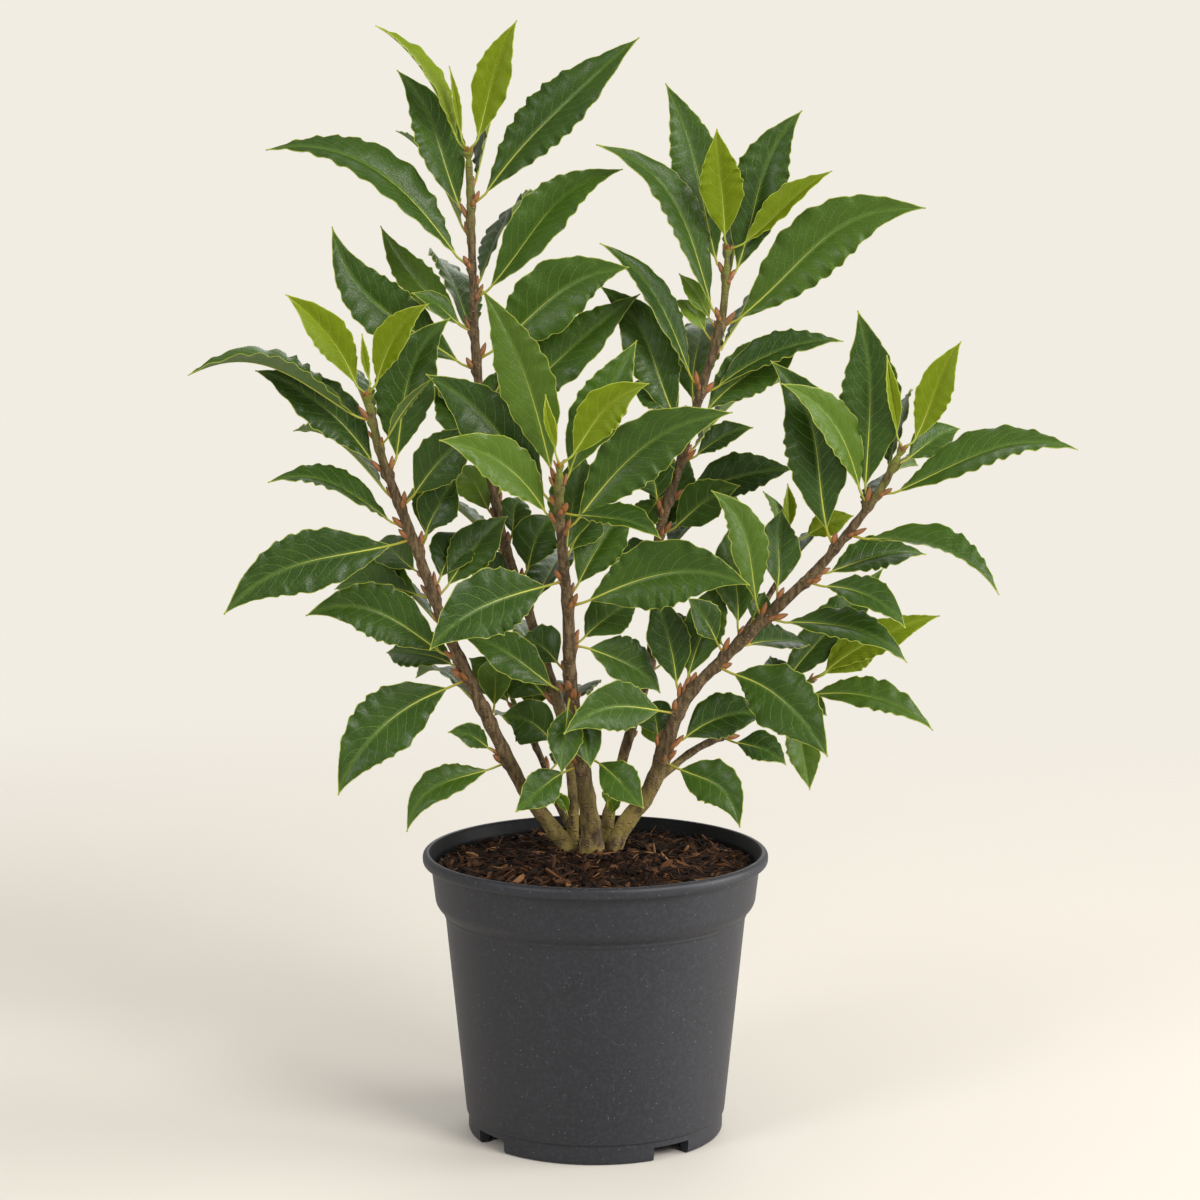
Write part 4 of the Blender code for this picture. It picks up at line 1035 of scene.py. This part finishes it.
class Graph:
    """A short way to write a material's nodes. An input is a number, a colour or a Value."""

    def __init__(self, name):
        self.material = bpy.data.materials.new(name)
        self.material.use_nodes = True
        self.nodes = self.material.node_tree.nodes
        self.links = self.material.node_tree.links
        self.shader = self.nodes["Principled BSDF"]

    def put(self, socket, value):
        if isinstance(value, Value):
            self.links.new(value.socket, socket)
        elif isinstance(value, tuple) and socket.type == "RGBA":
            socket.default_value = (*value, 1)
        else:
            socket.default_value = value

    def node(self, kind, inputs, **settings):
        """A new node. inputs: a value for each input, by its name or its number."""
        made = self.nodes.new(kind)
        for label, setting in settings.items():
            setattr(made, label, setting)
        for label, value in inputs.items():
            self.put(made.inputs[label], value)
        return made

    def math(self, operation, *values):
        made = self.node("ShaderNodeMath", dict(enumerate(values)), operation=operation)
        return Value(self, made.outputs[0])

    def step(self, low, high, value):
        """0 below low and 1 above high, smoothly; the other way round if low is above high."""
        if low > high:
            return 1.0 - self.step(high, low, value)
        inputs = dict(enumerate((value, low, high, 0.0, 1.0)))
        made = self.node("ShaderNodeMapRange", inputs, interpolation_type="SMOOTHSTEP")
        return Value(self, made.outputs["Result"])

    def mix(self, share, a, b):
        made = self.node("ShaderNodeMix", {}, data_type="RGBA")
        self.put(made.inputs["Factor"], share)
        for label, value in (("A", a), ("B", b)):
            sockets = [s for s in made.inputs if s.name == label and s.type == "RGBA"]
            self.put(sockets[0], value)
        return Value(self, [s for s in made.outputs if s.type == "RGBA"][0])

    def place(self, stretch=(1, 1, 1)):
        """Object coordinates in metres, scaled."""
        made = self.node("ShaderNodeTexCoord", {})
        inputs = {0: Value(self, made.outputs["Object"]), 1: stretch}
        scaled = self.node("ShaderNodeVectorMath", inputs, operation="MULTIPLY")
        return Value(self, scaled.outputs[0])

    def noise(self, size, detail=2.0, roughness=0.5, stretch=(1, 1, 1)):
        """Noise with lumps of about this size in metres, from 0 to 1."""
        inputs = {"Vector": self.place(stretch), "Scale": 1 / size, "Detail": detail,
                  "Roughness": roughness}
        return Value(self, self.node("ShaderNodeTexNoise", inputs).outputs[0])

    def cells(self, size, feature, stretch=(1, 1, 1)):
        """The distance from each cell's middle or edge, and the cell's colour if it has one."""
        inputs = {"Vector": self.place(stretch), "Scale": 1 / size}
        made = self.node("ShaderNodeTexVoronoi", inputs, feature=feature)
        return Value(self, made.outputs["Distance"]), made.outputs.get("Color")

    def split(self, color):
        """The three parts of a colour."""
        made = self.nodes.new("ShaderNodeSeparateColor")
        self.links.new(color, made.inputs[0])
        return [Value(self, part) for part in made.outputs[:3]]

    def values(self, name):
        """The four numbers of a point attribute."""
        made = self.node("ShaderNodeAttribute", {}, attribute_name=name)
        return (*self.split(made.outputs["Color"]), Value(self, made.outputs["Alpha"]))

    def bump(self, height, strength, distance):
        inputs = {"Strength": strength, "Distance": distance, "Height": height}
        made = self.node("ShaderNodeBump", inputs)
        self.links.new(made.outputs[0], self.shader.inputs["Normal"])

    def finish(self, color, roughness, **settings):
        self.put(self.shader.inputs["Base Color"], color)
        self.put(self.shader.inputs["Roughness"], roughness)
        for label, value in settings.items():
            self.shader.inputs[label.replace("_", " ")].default_value = value
        return self.material


def leaf_material(name, dark, light, fresh, vein_color, margin_color, under_color, gloss,
                  shine):
    """Laurel leaf: side veins that sweep to the tip, a fine net, a pale margin, wax."""
    g = Graph(name)
    u, v, upper, half = g.values("where")
    veins, tone, age, _ = g.values("kind")
    v = v * 2.0 - 1.0
    across, under = abs(v), 1.0 - upper
    half = half * COLOR_SCALE
    edge = (1.0 - across) * half
    sweep = across * (across * VEIN_BEND + VEIN_SLANT) * VEIN_SWEEP
    vein = veins * COLOR_SCALE * (u - sweep) + g.math("GREATER_THAN", v, 0.0) * 0.5
    vein = vein + (g.noise(0.012) - 0.5) * 0.35
    off = abs(g.math("FRACT", vein) - 0.5)
    line = g.step(0.042, 0.010, off) * g.step(0.93, 0.55, across) * g.step(0.0, 0.06, u)
    net = g.step(0.09, 0.02, g.cells(0.0016, "DISTANCE_TO_EDGE")[0])
    share = tone * 0.55 + g.noise(0.02, 3.0) * 0.6 + (g.noise(0.0035, 3.0, 0.6) - 0.5) * 0.25
    color = g.mix(share - 0.12, dark, light)
    color = g.mix(age, color, fresh)
    color = g.mix(net * 0.10, color, vein_color)
    color = g.mix(g.step(2.4, 0.2, across * half) * 0.28, color, vein_color)
    color = g.mix(line * 0.5, color, vein_color)
    color = g.mix(under * 0.85, color, under_color)
    margin = g.step(0.26, 0.0, g.noise(0.004) * -0.5 + edge)
    color = g.mix(margin * 0.85, color, margin_color)
    height = line * -0.8 + net * -0.22 + g.noise(0.0008, 2.0) * 0.22 + g.noise(0.006, 2.0) * 0.9
    g.bump(height, 0.5, 0.0006)
    roughness = g.noise(0.009, 3.0) * 0.16 + (gloss - 0.06) + under * 0.2
    return g.finish(color, roughness, Specular_IOR_Level=shine)


def rib_material(name, foot, petiole, rib, end):
    """Petiole and midrib, reddish at the foot."""
    g = Graph(name)
    u, reach, _, _ = g.values("where")
    color = g.mix(g.step(0.15, 0.85, reach), foot, petiole)
    color = g.mix(g.step(0.0, 0.12, u), color, rib)
    color = g.mix(g.step(0.5, 1.0, u), color, end)
    color = g.mix(g.noise(0.003, 3.0) * 0.35, color, petiole)
    g.bump(g.noise(0.001, 2.0), 0.15, 0.0004)
    return g.finish(color, 0.42, Specular_IOR_Level=0.35)


def bark_material():
    """Streaked brown bark: olive patches low down, green at the end, pale pores."""
    g = Graph("bark")
    share = g.values("where")[0]
    green = g.values("kind")[2]
    streak = g.noise(0.0022, 4.0, 0.65, (1, 1, 0.3))
    patch = g.noise(0.011, 3.0, 0.6)
    color = g.mix(g.step(0.35, 0.68, streak), (0.050, 0.032, 0.015), (0.18, 0.122, 0.060))
    olive = g.step(0.34, 0.02, share) * g.step(0.36, 0.6, patch)
    color = g.mix(olive * 0.8, color, (0.30, 0.235, 0.06))
    color = g.mix(g.step(0.40, 0.30, patch) * 0.5, color, (0.05, 0.028, 0.017))
    fresh = g.math("MAXIMUM", g.step(0.86, 1.0, share) * 0.75, green)
    fresh = fresh * g.step(0.25, 0.55, g.noise(0.006, 2.0))
    color = g.mix(fresh, color, (0.17, 0.19, 0.03))
    pores = g.cells(0.0042, "F1", (1, 1, 1.6))[0]
    color = g.mix(g.step(0.24, 0.12, pores) * 0.55, color, (0.30, 0.21, 0.12))
    height = g.step(0.3, 0.1, pores) * 0.8 + streak + g.noise(0.0009, 3.0) * 0.6
    g.bump(height, 0.8, 0.0011)
    return g.finish(color, 0.75, Specular_IOR_Level=0.25)


def bud_material():
    """Reddish brown, darker at the tip."""
    g = Graph("bud")
    share = g.values("where")[0]
    tone = g.values("kind")[1]
    color = g.mix(g.step(0.0, 0.5, share), (0.17, 0.11, 0.03), (0.38, 0.135, 0.032))
    color = g.mix(g.step(0.62, 1.0, share), color, (0.2, 0.062, 0.02))
    color = g.mix(tone * 0.6, color, (0.2, 0.105, 0.034))
    color = g.mix(g.noise(0.0012, 3.0) * 0.4, color, (0.09, 0.03, 0.012))
    g.bump(g.noise(0.0012, 3.0, 0.5, (1, 1, 0.35)), 0.4, 0.0005)
    return g.finish(color, 0.5)


def earth_material():
    g = Graph("compost")
    clump = g.noise(0.005, 5.0, 0.7)
    color = g.mix(g.step(0.35, 0.7, clump), (0.005, 0.0025, 0.0013), (0.045, 0.019, 0.008))
    color = g.mix(g.step(0.6, 0.72, g.noise(0.0016, 3.0)) * 0.5, color, (0.13, 0.065, 0.03))
    g.bump(g.noise(0.0018, 5.0, 0.7), 0.9, 0.0015)
    return g.finish(color, 0.95, Specular_IOR_Level=0.15)


def bit_material():
    """Chips and strands from nearly black to pale wood, by the tone of each."""
    g = Graph("bark_bits")
    tone = g.values("kind")[0]
    color = g.mix(g.step(0.0, 0.45, tone), (0.008, 0.0036, 0.0018), (0.046, 0.019, 0.0075))
    color = g.mix(g.step(0.4, 0.85, tone), color, (0.135, 0.056, 0.020))
    color = g.mix(g.step(0.86, 1.0, tone), color, (0.33, 0.165, 0.068))
    color = g.mix(g.noise(0.0014, 3.0) * 0.5, color, (0.016, 0.008, 0.005))
    g.bump(g.noise(0.0009, 3.0, 0.6), 0.6, 0.0005)
    return g.finish(color, 0.88, Specular_IOR_Level=0.2)


def plastic_material(name, dark, light, worn, shine):
    """Black plastic with a fine grain, pale specks and hair scratches."""
    g = Graph(name)
    cloud = g.noise(0.05, 4.0, 0.6)
    fine = g.noise(0.0022, 4.0, 0.6)
    color = g.mix(cloud, dark, light)
    color = g.mix(g.step(0.4, 0.75, fine) * 0.6, color, worn)
    distance, cell_color = g.cells(0.0029, "F1")
    speck = g.step(0.14, 0.05, distance) * g.step(0.60, 0.64, g.split(cell_color)[0])
    color = g.mix(speck * 0.9, color, tuple(8 * c for c in light))
    hair = g.cells(0.0065, "DISTANCE_TO_EDGE", (1, 1, 0.45))[0]
    scratch = g.step(0.018, 0.004, hair) * g.step(0.56, 0.68, g.noise(0.008))
    color = g.mix(scratch * 0.25, color, tuple(7 * c for c in light))
    g.bump(speck * 0.8 + (g.noise(0.0006, 2.0) * 0.35 + fine), 0.22, 0.0004)
    roughness = cloud * 0.1 + (fine * 0.16 + 0.37)
    return g.finish(color, roughness, Specular_IOR_Level=shine)


def floor_material():
    """A pale floor that fades out into the backdrop, well away from the pot."""
    g = Graph("floor")
    color = g.mix(g.noise(0.3, 3.0), FLOOR_COLOR, tuple(0.97 * c for c in FLOOR_COLOR))
    distance = g.node("ShaderNodeVectorMath", {0: g.place()}, operation="LENGTH")
    faded = g.step(FADE_END, FADE_START, Value(g, distance.outputs["Value"]))
    g.put(g.shader.inputs["Alpha"], faded)
    return g.finish(color, 0.8, Specular_IOR_Level=0.15)


FLOOR_COLOR = (0.715, 0.68, 0.62)
FADE_START, FADE_END = 0.45, 1.5
BACKDROP = (0.887, 0.847, 0.768)
AMBIENT = 0.6
AMBIENT_COLOR = (0.93, 0.90, 0.85)
FLOOR_RADIUS = 2.0
FLOOR_SIDES = 96

# Lights: name, place, target, size, power and colour
LIGHTS = (
    ("key", (1.7, -1.9, 1.9), (0, 0, 0.3), 1.4, 62, (1.0, 0.98, 0.95)),
    ("fill", (-1.8, -1.8, 1.5), (0, 0, 0.3), 1.0, 22, (0.98, 0.99, 1.0)),
    ("back", (0.3, 1.9, 1.7), (0, 0, 0.35), 1.5, 13, (1.0, 1.0, 1.0)),
    ("side", (2.8, -0.1, 0.8), (0, 0, 0.15), 1.9, 72, (1.0, 0.99, 0.97)),
)


def build_floor():
    turns = [math.tau * i / FLOOR_SIDES for i in range(FLOOR_SIDES)]
    edge = [(FLOOR_RADIUS * math.cos(a), FLOOR_RADIUS * math.sin(a), 0) for a in turns]
    mesh = new_mesh("floor", edge, [tuple(range(FLOOR_SIDES))], [floor_material()])
    floor = new_object("floor", mesh)


def build_world():
    """A cream backdrop, and a softer light from the same side all round."""
    world = bpy.data.worlds.new("studio")
    bpy.context.scene.world = world
    world.use_nodes = True
    nodes, links = world.node_tree.nodes, world.node_tree.links
    seen = nodes["Background"]
    seen.inputs["Color"].default_value = (*BACKDROP, 1)
    lit = nodes.new("ShaderNodeBackground")
    lit.inputs["Color"].default_value = (*AMBIENT_COLOR, 1)
    lit.inputs["Strength"].default_value = AMBIENT
    path = nodes.new("ShaderNodeLightPath")
    both = nodes.new("ShaderNodeMixShader")
    links.new(path.outputs["Is Camera Ray"], both.inputs[0])
    links.new(lit.outputs[0], both.inputs[1])
    links.new(seen.outputs[0], both.inputs[2])
    links.new(both.outputs[0], nodes["World Output"].inputs["Surface"])


def area_light(name, place, target, size, energy, color):
    data = bpy.data.lights.new(name, "AREA")
    data.shape = "DISK"
    data.size = size
    data.energy = energy
    data.color = color
    light = new_object(name, data)
    light.location = place
    aim = Vector(target) - Vector(place)
    light.rotation_euler = aim.to_track_quat("-Z", "Y").to_euler()


def build_camera():
    data = bpy.data.cameras.new("camera")
    data.lens = CAMERA_LENS
    data.sensor_width = 36
    camera = new_object("camera", data)
    camera.location = Vector((np.array(CAMERA_PLACE) + AXIS) * MM)
    camera.rotation_euler = (math.radians(CAMERA_TILT), 0, 0)
    bpy.context.scene.camera = camera


def main():
    build_camera()
    build_world()
    build_floor()
    for light in LIGHTS:
        area_light(*light)
    bark, bud = bark_material(), bud_material()
    mature = leaf_material(
        "mature_leaf", dark=(0.012, 0.036, 0.003), light=(0.052, 0.110, 0.007),
        fresh=(0.13, 0.22, 0.012), vein_color=(0.17, 0.28, 0.05),
        margin_color=(0.36, 0.40, 0.05), under_color=(0.11, 0.18, 0.05), gloss=0.29, shine=0.24)
    young = leaf_material(
        "young_leaf", dark=(0.085, 0.14, 0.0008), light=(0.18, 0.25, 0.002),
        fresh=(0.14, 0.20, 0.0012), vein_color=(0.36, 0.43, 0.05),
        margin_color=(0.40, 0.45, 0.06), under_color=(0.26, 0.34, 0.03), gloss=0.36, shine=0.16)
    rib = rib_material("midrib", (0.32, 0.15, 0.025), (0.33, 0.33, 0.03), (0.50, 0.50, 0.08),
                       (0.26, 0.34, 0.05))
    young_rib = rib_material("young_midrib", (0.28, 0.17, 0.02), (0.33, 0.40, 0.04),
                             (0.50, 0.56, 0.10), (0.36, 0.45, 0.05))
    outside = plastic_material("pot_plastic", (0.010, 0.0105, 0.015), (0.017, 0.018, 0.025),
                               (0.030, 0.032, 0.042), 0.45)
    # The same black plastic made darker for the pot's inner wall: painted shade, not a different plastic
    inside = plastic_material("pot_inside", (0.004, 0.004, 0.005), (0.008, 0.008, 0.009),
                              (0.015, 0.015, 0.017), 0.12)
    build_pot(outside, inside)
    build_soil(earth_material())
    build_bits(bit_material())
    for name, branches in STEMS.items():
        build_stem(name, branches, (bark, bud, mature, rib))
    for tip in TIPS:
        build_tip(tip, bark, bud, young, young_rib)


main()
bpy.context.scene.view_settings.view_transform = "Standard"
